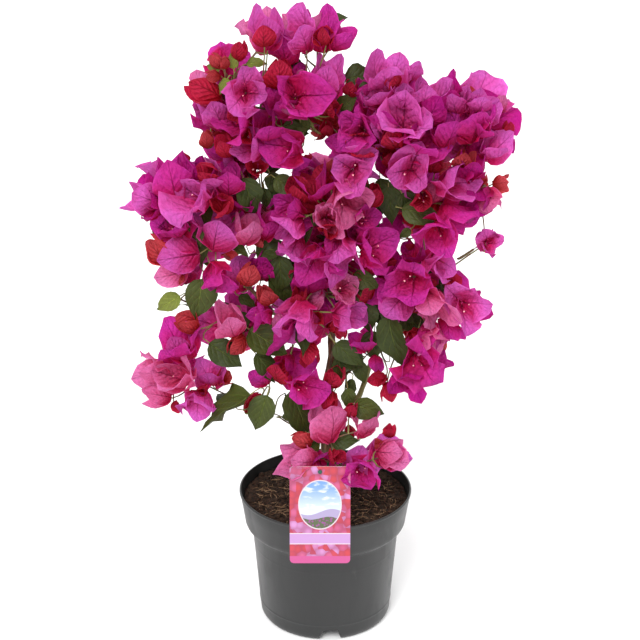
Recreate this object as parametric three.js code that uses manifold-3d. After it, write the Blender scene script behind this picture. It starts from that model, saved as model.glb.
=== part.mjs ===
// A bougainvillea grown as an upright fan in a round nursery pot, with a picture card tied to a front shoot.
// Millimetres, +Z up, the plant's front towards -Y, the origin on the ground under the middle of the pot.
import * as THREE from "three";
import { mergeVertices } from "three/addons/utils/BufferGeometryUtils.js";
import Module from "manifold-3d";

const wasm = await Module();
wasm.setup();

// ---- Driving dimensions ----

const CLEARANCE = 0.3; // left between pieces that touch
const GROWTH = 0.4; // how far a piece is swollen before it cuts its neighbour

const POT = {
  height: 137,
  rimRadius: 85,
  lipHeight: 3,
  lipStep: 0.8,
  lipWidth: 2.4,
  wall: 1.9,
  collarFoot: { radius: 80, height: 107 },
  shoulder: { radius: 72.3, height: 93 },
  heel: { radius: 65.6, height: 9 },
  footRadius: 59.5,
  footWidth: 4,
  padRadius: 22,
  recess: 13.5,
  floor: 2,
  facets: 32,
};
const NOTCH = { count: 4, footWidth: 24, topWidth: 14.5, height: 12.5, turn: 4 };
const DRAIN = { count: 4, radius: 5, ring: 40, sides: 8 };

const SOIL = { top: 128, dip: 1.5, edge: 8 };

const TAG = { width: 57, height: 94, thickness: 0.8, corner: 4, tilt: 12, drop: 33, side: -5.3 };
const TAG_HOLE = { radius: 2, below: 5 };
const TIE = { radius: 1.3, headRadius: 1.9 };

const TRUNK = { footRadius: 11, radius: 8, tipRadius: 5.4, flare: 14 };
const TRUNK_LINE = [
  [4, 3, SOIL.top + CLEARANCE],
  [3.5, 2.5, 150],
  [1.5, 1, 180],
  [0, 0, 206],
];

// Each limb: the way it runs, then its radius at the root and at the tip.
const LIMBS = {
  bough_centre: { via: [[0, 0, 203], [-1, 0, 235], [5, 2, 280], [4, 0, 372]], radii: [4.6, 3.2] },
  bough_left: { via: [[-1, 0, 202], [-14, -1, 238], [-48, 2, 268], [-84, -6, 312]], radii: [3.6, 2.2] },
  bough_left_low: { via: [[0, 0, 188], [-22, -6, 206], [-52, -16, 226], [-84, -20, 244]], radii: [3, 1.8] },
  bough_right: { via: [[1, 0, 202], [30, 4, 228], [44, 6, 270], [62, -4, 332]], radii: [3.2, 2] },
  bough_front: { via: [[3, 1, 152], [6, -20, 166], [9, -42, 188], [6, -48, 222]], radii: [3, 1.6] },
  bough_front_left: { via: [[6, -26, 172], [0, -42, 188], [-12, -50, 196]], radii: [2.2, 1.3] },
  bough_front_right: { via: [[8, -32, 178], [18, -44, 182], [32, -50, 184]], radii: [2.2, 1.3] },
  bough_back: { via: [[1, 2, 200], [5, 16, 236], [8, 30, 276], [2, 42, 330]], radii: [3.4, 2.2] },
  bough_back_left: { via: [[0, 2, 194], [-16, 16, 216], [-36, 34, 244]], radii: [2.6, 1.6] },
  whip_right: { via: [[108, -12, 372], [128, -9, 382], [148, -6, 396]], radii: [1.7, 1.1] },
};

// Each mass of foliage: its middle, its half sizes, and whether it is large enough for a finer skin.
const MASSES = {
  top_left: { at: [-54, 0, 585], half: [18, 18, 31] },
  top_right: { at: [-7, -2, 591], half: [30, 25, 26] },
  crest_left: { at: [-88, 2, 564], half: [22, 18, 19] },
  upper_left_outer: { at: [-91, -8, 525], half: [37, 38, 41] },
  upper_right_outer: { at: [132, 0, 504], half: [42, 44, 45], fine: true },
  upper_right: { at: [59, -20, 522], half: [51, 46, 49] },
  upper_left: { at: [-25, -20, 525], half: [44, 42, 45] },
  left_lobe: { at: [-129, -10, 429], half: [61, 50, 52], fine: true },
  left_lobe_foot: { at: [-134, -18, 380], half: [30, 25, 24] },
  right_drop: { at: [143, -4, 442], half: [26, 23, 24] },
  centre: { at: [4, -36, 442], half: [48, 42, 48] },
  centre_right: { at: [90, -18, 435], half: [38, 40, 43] },
  inner_left: { at: [-58, -6, 419], half: [32, 38, 46] },
  centre_mid: { at: [0, -12, 386], half: [59, 34, 27] },
  left_bud: { at: [-83, -14, 365], half: [27, 22, 20] },
  centre_low: { at: [-20, -30, 333], half: [48, 36, 34] },
  right_low: { at: [90, -18, 357], half: [40, 38, 42] },
  right_tip: { at: [134, -10, 331], half: [21, 18, 21] },
  right_foot: { at: [93, -18, 282], half: [29, 28, 37] },
  left_leaf: { at: [-136, -20, 347], half: [26, 18, 24], leafy: true },
  left_mid: { at: [-98, -16, 322], half: [38, 26, 26] },
  left_low: { at: [-140, -16, 268], half: [43, 32, 41] },
  low_leaf: { at: [-68, -24, 238], half: [54, 22, 28], leafy: true },
  low_centre: { at: [-34, -14, 272], half: [28, 22, 23] },
  stem_leaf: { at: [19, -14, 267], half: [20, 20, 33], leafy: true },
  right_leaf: { at: [54, -10, 290], half: [18, 20, 30], leafy: true },
  far_right: { at: [149, -6, 397], half: [14, 12, 16] },
  front_upper_left: { at: [2, -48, 230], half: [18, 18, 23] },
  front_upper_right: { at: [40, -44, 226], half: [21, 18, 17] },
  front_leaf: { at: [22, -38, 213], half: [24, 16, 12], leafy: true },
  leaf_low: { at: [-27, -34, 222], half: [19, 15, 21], leafy: true },
  front_left: { at: [-25, -50, 189], half: [22, 15, 18] },
  front_right: { at: [31, -50, 178], half: [20, 15, 22] },
  front_far_right: { at: [60, -36, 192], half: [21, 17, 19] },
  back_top: { at: [0, 40, 520], half: [50, 40, 44] },
  back_upper_left: { at: [-75, 38, 478], half: [50, 42, 45] },
  back_upper_right: { at: [84, 40, 480], half: [52, 42, 45] },
  back_centre: { at: [0, 46, 426], half: [52, 44, 52] },
  back_left: { at: [-112, 38, 396], half: [47, 38, 43] },
  back_right: { at: [98, 40, 393], half: [45, 40, 43] },
  back_low: { at: [-8, 42, 338], half: [47, 36, 38] },
  back_low_left: { at: [-82, 30, 306], half: [38, 30, 29] },
  back_low_right: { at: [72, 32, 316], half: [38, 31, 34] },
  back_foot: { at: [-38, 34, 247], half: [30, 26, 25], leafy: true },
};
const UNEVEN = [
  { depth: 0.09, waves: 3.1 },
  { depth: 0.05, waves: 5.7 },
];

const LOOKS = {
  pot: { color: 0x4b4d4d, roughness: 0.45 },
  soil: { color: 0x2c1c13, roughness: 0.95 },
  card: { color: 0xe2c3d6, roughness: 0.4 },
  tie: { color: 0x1d4a3a, roughness: 0.6 },
  bark: { color: 0x6b4a37, roughness: 0.9 },
  bract: { color: 0xbf1f92, roughness: 0.7 },
  leaf: { color: 0x3f4a22, roughness: 0.6 },
};

// ---- Joining and cutting ----

function solidOf(geometry) {
  const bare = geometry.clone();
  bare.deleteAttribute("normal");
  bare.deleteAttribute("uv");
  const merged = mergeVertices(bare, 1e-4);
  const vertProperties = new Float32Array(merged.attributes.position.array);
  const triVerts = new Uint32Array(merged.index.array);
  return new wasm.Manifold(new wasm.Mesh({ numProp: 3, vertProperties, triVerts }));
}

function geometryOf(solid) {
  const mesh = solid.getMesh();
  const geometry = new THREE.BufferGeometry();
  geometry.setAttribute("position", new THREE.BufferAttribute(new Float32Array(mesh.vertProperties), 3));
  geometry.setIndex(new THREE.BufferAttribute(new Uint32Array(mesh.triVerts), 1));
  geometry.computeVertexNormals();
  return geometry;
}

function cut(solid, cutters) {
  return cutters.reduce((left, cutter) => left.subtract(cutter), solid);
}

// Of the pieces a cut has left, the one that scores highest.
function bestPiece(solid, score) {
  const pieces = solid.decompose();
  return pieces.reduce((best, piece) => (score(piece) > score(best) ? piece : best));
}

const largestPiece = (solid) => bestPiece(solid, (piece) => piece.volume());

function pieceNearest(solid, place) {
  const spot = new THREE.Vector3(...place);
  const nearness = (piece) => {
    const { min, max } = piece.boundingBox();
    const box = new THREE.Box3(new THREE.Vector3(...min), new THREE.Vector3(...max));
    return -box.distanceToPoint(spot);
  };
  return bestPiece(solid, nearness);
}

// ---- Pot and soil ----

const point = (radius, height) => new THREE.Vector2(radius, height);

// Points of a quarter round from one corner of its box to the other, leaving sideways and arriving upwards.
function easedCorner(from, to) {
  const steps = 2;
  const points = [];
  for (let i = 0; i <= steps; i += 1) {
    const angle = (i / steps) * (Math.PI / 2);
    const across = Math.sin(angle);
    const along = 1 - Math.cos(angle);
    points.push(point(from.x + (to.x - from.x) * across, from.y + (to.y - from.y) * along));
  }
  return points;
}

function outerProfile() {
  const { height, rimRadius, lipHeight, lipStep, collarFoot, shoulder, heel, footRadius } = POT;
  const collarEdge = point(collarFoot.radius, collarFoot.height);
  return [
    ...easedCorner(point(footRadius, 0), point(heel.radius, heel.height)),
    point(shoulder.radius, shoulder.height),
    ...easedCorner(point(shoulder.radius + 1.2, shoulder.height + 3), collarEdge),
    point(rimRadius - lipStep, height - lipHeight),
    point(rimRadius, height - lipHeight + 1),
    point(rimRadius, height - 1),
    point(rimRadius - 1, height),
  ];
}

// The inside of the wall, from the foot of the wall up to the lip, pushed in by the given amount.
function innerWall(inset) {
  const { height, rimRadius, lipWidth, wall, collarFoot, shoulder, heel, recess, floor } = POT;
  const inner = (radius) => radius - wall - inset;
  return [
    point(inner(heel.radius), recess + floor + inset),
    point(inner(shoulder.radius), shoulder.height),
    point(inner(collarFoot.radius), collarFoot.height),
    point(rimRadius - lipWidth - inset, height - 3),
    point(rimRadius - lipWidth - inset + 0.4, height),
  ];
}

// The top of the pot's floor, from the axis outwards: a low middle pad, then a raised ring.
function innerFloor(inset) {
  const { padRadius, recess, floor } = POT;
  return [
    point(0, floor + inset),
    point(padRadius - inset, floor + inset),
    point(padRadius + 2 - inset, recess + floor + inset),
  ];
}

function trapezoid({ footWidth, topWidth, height }) {
  const shape = new THREE.Shape();
  shape.moveTo(-footWidth / 2, -1);
  shape.lineTo(footWidth / 2, -1);
  shape.lineTo(topWidth / 2, height);
  shape.lineTo(-topWidth / 2, height);
  shape.closePath();
  return shape;
}

// A tapering block through the foot ring, pointing outwards at the given turn.
function footNotch(turn) {
  const start = POT.footRadius - POT.footWidth - 3;
  const depth = POT.heel.radius + 2 - start;
  const geometry = new THREE.ExtrudeGeometry(trapezoid(NOTCH), { depth, bevelEnabled: false });
  geometry.rotateX(Math.PI / 2);
  geometry.translate(0, -start, 0);
  geometry.rotateZ(turn);
  return solidOf(geometry);
}

function drainHole(turn) {
  const through = 3 * POT.floor + 2;
  const geometry = new THREE.CylinderGeometry(DRAIN.radius, DRAIN.radius, through, DRAIN.sides);
  geometry.rotateX(Math.PI / 2);
  geometry.translate(DRAIN.ring * Math.cos(turn), DRAIN.ring * Math.sin(turn), POT.recess);
  return solidOf(geometry);
}

function potSolid() {
  const { footRadius, footWidth, padRadius, recess } = POT;
  const underside = [
    point(0, 0),
    point(padRadius, 0),
    point(padRadius + 2, recess),
    point(footRadius - footWidth - 1, recess),
    point(footRadius - footWidth, 0),
  ];
  const inside = [...innerFloor(0), ...innerWall(0)].reverse();
  const profile = [...underside, ...outerProfile(), ...inside];
  const body = solidOf(lathe(profile));
  const cutters = [];
  for (let i = 0; i < NOTCH.count; i += 1) {
    const turn = THREE.MathUtils.degToRad(NOTCH.turn) + (i / NOTCH.count) * 2 * Math.PI;
    cutters.push(footNotch(turn));
  }
  for (let i = 0; i < DRAIN.count; i += 1) {
    cutters.push(drainHole(((i + 0.5) / DRAIN.count) * 2 * Math.PI));
  }
  return cut(body, cutters);
}

// A turned solid standing on +Z.
function lathe(profile) {
  const geometry = new THREE.LatheGeometry(profile, POT.facets);
  geometry.rotateX(Math.PI / 2);
  return geometry;
}

function soilSolid() {
  const { top, dip, edge } = SOIL;
  const [heel, shoulder, collar] = innerWall(CLEARANCE);
  const lip = innerWall(CLEARANCE)[3];
  const share = (top - dip - collar.y) / (lip.y - collar.y);
  const rim = point(collar.x + (lip.x - collar.x) * share, top - dip);
  const surface = [rim, point(rim.x - edge, top), point(0, top)];
  return solidOf(lathe([...innerFloor(CLEARANCE), heel, shoulder, collar, ...surface]));
}

// ---- Card and its tie ----

const tagTilt = THREE.MathUtils.degToRad(TAG.tilt);
// The card's own frame: its foot edge in the middle, the card rising along +Y, its face towards +Z.
const tagFrame = new THREE.Matrix4()
  .makeTranslation(
    TAG.side,
    -(POT.rimRadius + CLEARANCE + TAG.thickness) - TAG.drop * Math.sin(tagTilt),
    POT.height - TAG.drop * Math.cos(tagTilt),
  )
  .multiply(new THREE.Matrix4().makeRotationX(Math.PI / 2 - tagTilt));
const onTag = (across, up, out) => new THREE.Vector3(across, up, out).applyMatrix4(tagFrame);

function tagSolid(grow) {
  const { width, height, thickness, corner } = TAG;
  const left = -width / 2 - grow;
  const right = width / 2 + grow;
  const shape = new THREE.Shape();
  shape.moveTo(left + corner, -grow);
  shape.lineTo(right - corner, -grow);
  shape.quadraticCurveTo(right, -grow, right, corner - grow);
  shape.lineTo(right, height + grow - corner);
  shape.quadraticCurveTo(right, height + grow, right - corner, height + grow);
  shape.lineTo(left + corner, height + grow);
  shape.quadraticCurveTo(left, height + grow, left, height + grow - corner);
  shape.lineTo(left, corner - grow);
  shape.quadraticCurveTo(left, -grow, left + corner, -grow);
  if (grow === 0) {
    const hole = new THREE.Path();
    hole.absarc(0, height - TAG_HOLE.below, TAG_HOLE.radius, 0, 2 * Math.PI, true);
    shape.holes.push(hole);
  }
  const settings = { depth: thickness + 2 * grow, bevelEnabled: false, curveSegments: 4 };
  const geometry = new THREE.ExtrudeGeometry(shape, settings);
  geometry.translate(0, 0, -thickness / 2 - grow);
  return solidOf(geometry.applyMatrix4(tagFrame));
}

// A stiff plant tie: a head in front of the card, a stem through its hole, and a hook back to a front shoot.
function tieSolid(grow) {
  const eye = TAG.height - TAG_HOLE.below;
  const head = new THREE.SphereGeometry(TIE.headRadius + grow, 8, 5);
  head.translate(...onTag(0, eye, TAG.thickness / 2 + CLEARANCE + TIE.headRadius));
  const stem = limbSolid({
    via: [
      onTag(0, eye, TAG.thickness / 2 + TIE.headRadius).toArray(),
      onTag(0, eye, -TAG.thickness / 2 - 2).toArray(),
      onTag(0, eye + 5, -5).toArray(),
      LIMBS.bough_front_left.via[1],
    ],
    radii: [TIE.radius, TIE.radius],
    grow,
  });
  return solidOf(head).add(stem);
}

// ---- Trunk and limbs ----

// A round bar bent along the line, its radius given at each share of the way.
function bentBar(line, radiusAt, sides, steps) {
  const curve = new THREE.CatmullRomCurve3(line.map((place) => new THREE.Vector3(...place)));
  const frames = curve.computeFrenetFrames(steps);
  const geometry = new THREE.CylinderGeometry(1, 1, 1, sides, steps);
  const places = geometry.attributes.position;
  for (let i = 0; i < places.count; i += 1) {
    const share = places.getY(i) + 0.5;
    const step = Math.round(share * steps);
    const radius = radiusAt(share);
    const spot = curve
      .getPointAt(share)
      .addScaledVector(frames.normals[step], places.getX(i) * radius)
      .addScaledVector(frames.binormals[step], -places.getZ(i) * radius);
    places.setXYZ(i, spot.x, spot.y, spot.z);
  }
  return geometry;
}

function limbSolid({ via, radii, grow = 0 }) {
  const [root, tip] = radii;
  const radiusAt = (share) => root + (tip - root) * share + grow;
  return solidOf(bentBar(via, radiusAt, 6, 7));
}

// The trunk swells into a flare over its lowest stretch and is cut flat at its foot.
function trunkSolid(grow) {
  const { footRadius, radius, tipRadius, flare } = TRUNK;
  const [tipX, tipY, tipZ] = TRUNK_LINE.at(-1);
  const line = [...TRUNK_LINE.slice(0, -1), [tipX, tipY, tipZ + grow]];
  const foot = line[0][2];
  const rise = line.at(-1)[2] - foot;
  const radiusAt = (share) => {
    const swell = Math.exp((-share * rise * 3) / flare);
    return radius + (tipRadius - radius) * share + (footRadius - radius) * swell + grow;
  };
  const geometry = bentBar(line, radiusAt, 10, 9);
  const places = geometry.attributes.position;
  for (let i = 0; i < places.count; i += 1) {
    if (places.getZ(i) < foot + 2) {
      places.setZ(i, foot);
    }
  }
  return solidOf(geometry);
}

// ---- Foliage ----

// A closed lump: a ball stretched to its half sizes, with hollows and swellings of its own.
function massSolid({ at, half, fine }, order, grow) {
  const geometry = new THREE.IcosahedronGeometry(1, fine ? 2 : 1);
  const places = geometry.attributes.position;
  const [x, y, z] = half;
  const skin = new THREE.Vector3();
  for (let i = 0; i < places.count; i += 1) {
    skin.fromBufferAttribute(places, i).normalize();
    let reach = 1;
    UNEVEN.forEach(({ depth, waves }, turn) => {
      const heading = order + turn;
      const bearing = skin.x * Math.cos(heading) + skin.y * Math.sin(heading) + skin.z * Math.cos(2 * order);
      reach += depth * Math.sin(waves * bearing + order);
    });
    places.setXYZ(
      i,
      at[0] + skin.x * (x * reach + grow),
      at[1] + skin.y * (y * reach + grow),
      at[2] + skin.z * (z * reach + grow),
    );
  }
  return solidOf(geometry);
}

// Masses in order, each cut clear of those before it and of whatever else it must leave room for.
function foliage(keepClear) {
  const cutters = [...keepClear];
  const made = {};
  Object.entries(MASSES).forEach(([name, mass], order) => {
    made[name] = largestPiece(cut(massSolid(mass, order, 0), cutters));
    cutters.push(massSolid(mass, order, GROWTH));
  });
  return made;
}

// Limbs in order, each ending where it enters a mass and starting on the trunk or limb that bears it.
function limbs(masses) {
  const cutters = [trunkSolid(GROWTH), ...masses];
  const made = {};
  Object.entries(LIMBS).forEach(([name, limb]) => {
    const bare = cut(limbSolid(limb), cutters);
    made[name] = pieceNearest(bare, limb.via[0]);
    cutters.push(limbSolid({ ...limb, grow: GROWTH }));
  });
  return made;
}

// ---- The plant ----

const plant = new THREE.Group();

function addPiece(name, solid, look) {
  const material = new THREE.MeshStandardMaterial({ ...LOOKS[look], metalness: 0 });
  const mesh = new THREE.Mesh(geometryOf(solid), material);
  mesh.name = name;
  plant.add(mesh);
}

const swollenFrontShoot = limbSolid({ ...LIMBS.bough_front_left, grow: GROWTH });
const tie = pieceNearest(tieSolid(0).subtract(swollenFrontShoot), onTag(0, TAG.height, 0).toArray());
const masses = foliage([tagSolid(GROWTH), tieSolid(GROWTH), trunkSolid(GROWTH)]);
const swollenMasses = Object.entries(MASSES).map(([, mass], order) => massSolid(mass, order, GROWTH));

addPiece("pot", potSolid(), "pot");
addPiece("soil", soilSolid(), "soil");
addPiece("tag", tagSolid(0), "card");
addPiece("tag_tie", tie, "tie");
addPiece("trunk", trunkSolid(0), "bark");
for (const [name, limb] of Object.entries(limbs([...swollenMasses, tieSolid(GROWTH)]))) {
  addPiece(name, limb, "bark");
}
for (const [name, mass] of Object.entries(masses)) {
  addPiece(name, mass, MASSES[name].leafy ? "leaf" : "bract");
}

export default plant;
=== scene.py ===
"""The finish of a potted bougainvillea: pot, soil, card, bark, leaves and papery bracts."""

import bmesh
import bpy
import math
import numpy as np
from mathutils import Matrix, Vector, noise


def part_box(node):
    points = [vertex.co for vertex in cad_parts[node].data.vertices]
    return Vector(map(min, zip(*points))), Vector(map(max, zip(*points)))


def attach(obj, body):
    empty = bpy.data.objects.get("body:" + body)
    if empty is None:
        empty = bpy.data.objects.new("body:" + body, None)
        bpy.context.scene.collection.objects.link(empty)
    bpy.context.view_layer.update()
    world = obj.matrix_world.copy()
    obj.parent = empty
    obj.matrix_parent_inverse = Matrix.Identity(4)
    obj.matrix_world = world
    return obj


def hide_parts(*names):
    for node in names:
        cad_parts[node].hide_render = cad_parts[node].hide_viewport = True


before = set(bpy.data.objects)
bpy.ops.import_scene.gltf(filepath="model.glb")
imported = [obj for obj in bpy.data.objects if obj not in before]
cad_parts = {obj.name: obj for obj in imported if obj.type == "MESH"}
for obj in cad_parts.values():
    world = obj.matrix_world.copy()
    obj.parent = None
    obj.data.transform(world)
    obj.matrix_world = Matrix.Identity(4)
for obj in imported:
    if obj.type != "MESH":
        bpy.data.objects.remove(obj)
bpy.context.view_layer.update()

MM = 0.001
FULL_TURN = 2 * math.pi
GOLDEN_ANGLE = math.pi * (3 - math.sqrt(5))
UP = np.array([0.0, 0.0, 1.0])

# ---- Camera ----

VIEW = {"distance": 1.5, "elevation": math.radians(21.7), "side": -0.0053, "aim": 0.3145, "lens": 88.92}


def set_camera():
    """Stands the camera in front of the plant, looking down a little at the middle of its height."""
    data = bpy.data.cameras.new("camera")
    data.lens = VIEW["lens"]
    data.sensor_width = 36
    camera = bpy.data.objects.new("camera", data)
    level = VIEW["distance"] * math.cos(VIEW["elevation"])
    above = VIEW["distance"] * math.sin(VIEW["elevation"])
    camera.location = (VIEW["side"], -level, VIEW["aim"] + above)
    camera.rotation_euler = (math.pi / 2 - VIEW["elevation"], 0, 0)
    bpy.context.collection.objects.link(camera)
    bpy.context.scene.camera = camera


set_camera()

# ---- Small tools ----


def unit(vectors):
    """The same vectors with a length of one."""
    vectors = np.asarray(vectors, float)
    return vectors / np.maximum(np.linalg.norm(vectors, axis=-1, keepdims=True), 1e-9)


def between(low, high, share):
    """The value that lies the given share of the way from low to high."""
    return low + (high - low) * share


def keep(name, mesh, mat, replaced=()):
    """Makes a mesh a finished piece of the plant."""
    mesh.materials.clear()
    mesh.materials.append(mat)
    piece = bpy.data.objects.new(name, mesh)
    bpy.context.collection.objects.link(piece)
    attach(piece, "root")
    if replaced:
        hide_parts(*replaced)
    return piece


def finished_mesh(name, bm, smooth_angle=40):
    """Turns a bmesh into a smooth mesh whose sharp edges stay sharp."""
    mesh = bpy.data.meshes.new(name)
    bm.to_mesh(mesh)
    bm.free()
    mesh.shade_smooth()
    mesh.set_sharp_from_angle(angle=math.radians(smooth_angle))
    return mesh


class Template:
    """One repeated shape: its corners, its faces and its map, taken from a bmesh."""

    def __init__(self, bm):
        bm.verts.ensure_lookup_table()
        bm.verts.index_update()
        layer = bm.loops.layers.uv.active
        self.corners = np.array([v.co[:] for v in bm.verts])
        self.loops = np.array([loop.vert.index for face in bm.faces for loop in face.loops])
        self.totals = np.array([len(face.loops) for face in bm.faces])
        self.map = None
        if layer:
            self.map = np.array([loop[layer].uv[:] for face in bm.faces for loop in face.loops])
        bm.free()


def joined_mesh(name, template, places):
    """One mesh with a copy of the template for each row of places, which holds that copy's corners."""
    count, corners = places.shape[:2]
    loops = (template.loops[None, :] + np.arange(count)[:, None] * corners).ravel()
    totals = np.tile(template.totals, count)
    starts = np.concatenate([[0], np.cumsum(totals)[:-1]])
    mesh = bpy.data.meshes.new(name)
    mesh.vertices.add(count * corners)
    mesh.vertices.foreach_set("co", places.ravel())
    mesh.loops.add(len(loops))
    mesh.loops.foreach_set("vertex_index", loops)
    mesh.polygons.add(len(totals))
    mesh.polygons.foreach_set("loop_start", starts)
    mesh.update(calc_edges=True)
    mesh.shade_smooth()
    if template.map is not None:
        layer = mesh.uv_layers.new(name="OFBake")
        layer.data.foreach_set("uv", np.tile(template.map, (count, 1)).ravel())
    return mesh


def tubes_mesh(name, paths, sides=3):
    """One mesh of round rods: each path is a list of points and a list of radii."""
    curve = bpy.data.curves.new(name, "CURVE")
    curve.dimensions = "3D"
    curve.bevel_depth = 1
    curve.bevel_resolution = sides - 2
    curve.use_fill_caps = True
    for points, radii in paths:
        spline = curve.splines.new("POLY")
        spline.points.add(len(points) - 1)
        spline.points.foreach_set("co", np.hstack([points, np.ones((len(points), 1))]).ravel())
        spline.points.foreach_set("radius", np.asarray(radii, float))
    holder = bpy.data.objects.new(name, curve)
    mesh = bpy.data.meshes.new_from_object(holder)
    bpy.data.objects.remove(holder)
    mesh.name = name
    mesh.shade_smooth()
    return mesh


def bend(start, out, end, arrive, steps):
    """Points of a smooth way that leaves start along out and reaches end along arrive."""
    reach = np.linalg.norm(np.asarray(end) - start) * 0.4
    t = np.linspace(0, 1, steps)[:, None]
    first = start + unit(out) * reach
    second = end - unit(arrive) * reach
    return start * (1 - t) ** 3 + first * 3 * t * (1 - t) ** 2 + second * 3 * t**2 * (1 - t) + end * t**3


# ---- Materials ----


class Nodes:
    """A short way to write a node tree: each call makes one node and returns its first output."""

    def __init__(self, tree):
        self.tree = tree

    def add(self, kind, inputs=(), output=0, **settings):
        node = self.tree.nodes.new("ShaderNode" + kind)
        for key, value in settings.items():
            setattr(node, key, value)
        for key, value in dict(inputs).items():
            self.feed(node.inputs[key], value)
        return node.outputs[output]

    def feed(self, socket, value):
        if isinstance(value, bpy.types.NodeSocket):
            self.tree.links.new(value, socket)
        elif isinstance(value, tuple) and len(value) == 3 and socket.type == "RGBA":
            socket.default_value = (*value, 1)
        else:
            socket.default_value = value

    def maths(self, operation, first, second=0.0):
        return self.add("Math", {0: first, 1: second}, operation=operation)

    def ramp(self, value, low, high, to_low=0.0, to_high=1.0):
        inputs = {"Value": value, "From Min": low, "From Max": high, "To Min": to_low, "To Max": to_high}
        return self.add("MapRange", inputs, interpolation_type="SMOOTHSTEP")

    def mix(self, share, first, second, blend_type="MIX"):
        node = self.tree.nodes.new("ShaderNodeMix")
        node.data_type = "RGBA"
        node.blend_type = blend_type
        self.feed(node.inputs["Factor"], share)
        self.feed(node.inputs[6], first)
        self.feed(node.inputs[7], second)
        return node.outputs[2]

    def noise(self, place, scale, detail=3.0, roughness=0.5):
        inputs = {"Vector": place, "Scale": scale, "Detail": detail, "Roughness": roughness}
        return self.add("TexNoise", inputs)

    def object_place(self, stretch=(1, 1, 1)):
        place = self.add("TexCoord", output="Object")
        if stretch == (1, 1, 1):
            return place
        return self.add("Mapping", {"Vector": place, "Scale": stretch})


def new_material(name, roughness, specular=0.5):
    """A material with its shader, ready for colour and relief."""
    mat = bpy.data.materials.new(name)
    mat.use_nodes = True
    shader = mat.node_tree.nodes["Principled BSDF"]
    shader.inputs["Roughness"].default_value = roughness
    shader.inputs["Specular IOR Level"].default_value = specular
    return mat, Nodes(mat.node_tree), shader


def relief(nodes, shader, height, depth, strength=1.0):
    """Feeds a height pattern into a shader as a bump that is depth metres deep."""
    bump = nodes.add("Bump", {"Height": height, "Distance": depth, "Strength": strength})
    nodes.tree.links.new(bump, shader.inputs["Normal"])


def new_group(name, inputs, outputs):
    """An empty shader node group with the named sockets."""
    group = bpy.data.node_groups.new(name, "ShaderNodeTree")
    for label, (kind, value) in inputs.items():
        socket = group.interface.new_socket(label, in_out="INPUT", socket_type="NodeSocket" + kind)
        if value is not None:
            socket.default_value = value
    for label, kind in outputs.items():
        group.interface.new_socket(label, in_out="OUTPUT", socket_type="NodeSocket" + kind)
    entry = group.nodes.new("NodeGroupInput")
    leave = group.nodes.new("NodeGroupOutput")
    return group, entry.outputs, leave.inputs


def blade_group():
    """Colour and relief of a leaf or bract: midrib, side veins, quilting and a paler margin."""
    inputs = {
        "Place": ("Vector", None),
        "Root Colour": ("Color", None),
        "Tip Colour": ("Color", None),
        "Vein Colour": ("Color", None),
        "Margin Colour": ("Color", None),
        "Turn": ("Float", 0.35),
        "Veins": ("Float", 6.0),
        "Vein Share": ("Float", 0.5),
        "Side Share": ("Float", 0.3),
        "Quilt": ("Float", 0.3),
    }
    group, entry, leave = new_group("blade_pattern", inputs, {"Colour": "Color", "Height": "Float"})
    nodes = Nodes(group)
    split = nodes.add("SeparateXYZ", {"Vector": entry["Place"]}).node.outputs
    doubled = nodes.maths("MULTIPLY", split["X"], 2.0)
    across = nodes.maths("ABSOLUTE", nodes.maths("SUBTRACT", doubled, 1.0))
    along = split["Y"]
    shake = nodes.noise(entry["Place"], 5.0, 2.0)
    slant = nodes.maths("MULTIPLY", nodes.maths("POWER", across, 0.8), 0.42)
    phase = nodes.maths("MULTIPLY", nodes.maths("SUBTRACT", along, slant), entry["Veins"])
    phase = nodes.maths("ADD", phase, nodes.maths("MULTIPLY", shake, 0.5))
    saw = nodes.maths("SUBTRACT", nodes.maths("FRACT", phase), 0.5)
    swing = nodes.maths("MULTIPLY", nodes.maths("ABSOLUTE", saw), 2.0)
    fade = nodes.ramp(across, 0.98, 0.5)
    side_vein = nodes.maths("MULTIPLY", nodes.ramp(swing, 0.84, 0.99), fade)
    rib = nodes.ramp(across, nodes.ramp(along, 0.0, 1.0, 0.060, 0.018), 0.0)
    vein = nodes.maths("MAXIMUM", rib, nodes.maths("MULTIPLY", side_vein, entry["Side Share"]))
    speckle = nodes.noise(entry["Place"], 16.0, 4.0, 0.6)
    start = nodes.maths("ADD", along, nodes.maths("MULTIPLY", nodes.maths("SUBTRACT", speckle, 0.5), 0.35))
    colour = nodes.mix(nodes.ramp(start, 0.02, entry["Turn"]), entry["Root Colour"], entry["Tip Colour"])
    colour = nodes.mix(nodes.ramp(across, 0.86, 1.0, 0.0, 0.5), colour, entry["Margin Colour"])
    colour = nodes.mix(nodes.maths("MULTIPLY", vein, entry["Vein Share"]), colour, entry["Vein Colour"])
    shade = nodes.ramp(speckle, 0.3, 0.7, 0.86, 1.08)
    tint = nodes.add("CombineColor", {"Red": shade, "Green": shade, "Blue": shade})
    colour = nodes.mix(1.0, colour, tint, "MULTIPLY")
    quilt = nodes.maths("MULTIPLY", nodes.maths("SUBTRACT", 1.0, nodes.maths("POWER", swing, 2.0)), fade)
    quilt = nodes.maths("MULTIPLY", quilt, entry["Quilt"])
    height = nodes.maths("SUBTRACT", quilt, nodes.maths("MULTIPLY", rib, 0.7))
    height = nodes.maths("ADD", height, nodes.maths("MULTIPLY", speckle, 0.7))
    height = nodes.maths("ADD", height, nodes.maths("MULTIPLY", shake, 1.6))
    group.links.new(colour, leave["Colour"])
    group.links.new(height, leave["Height"])
    return group


BLADE_GROUP = blade_group()


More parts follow.
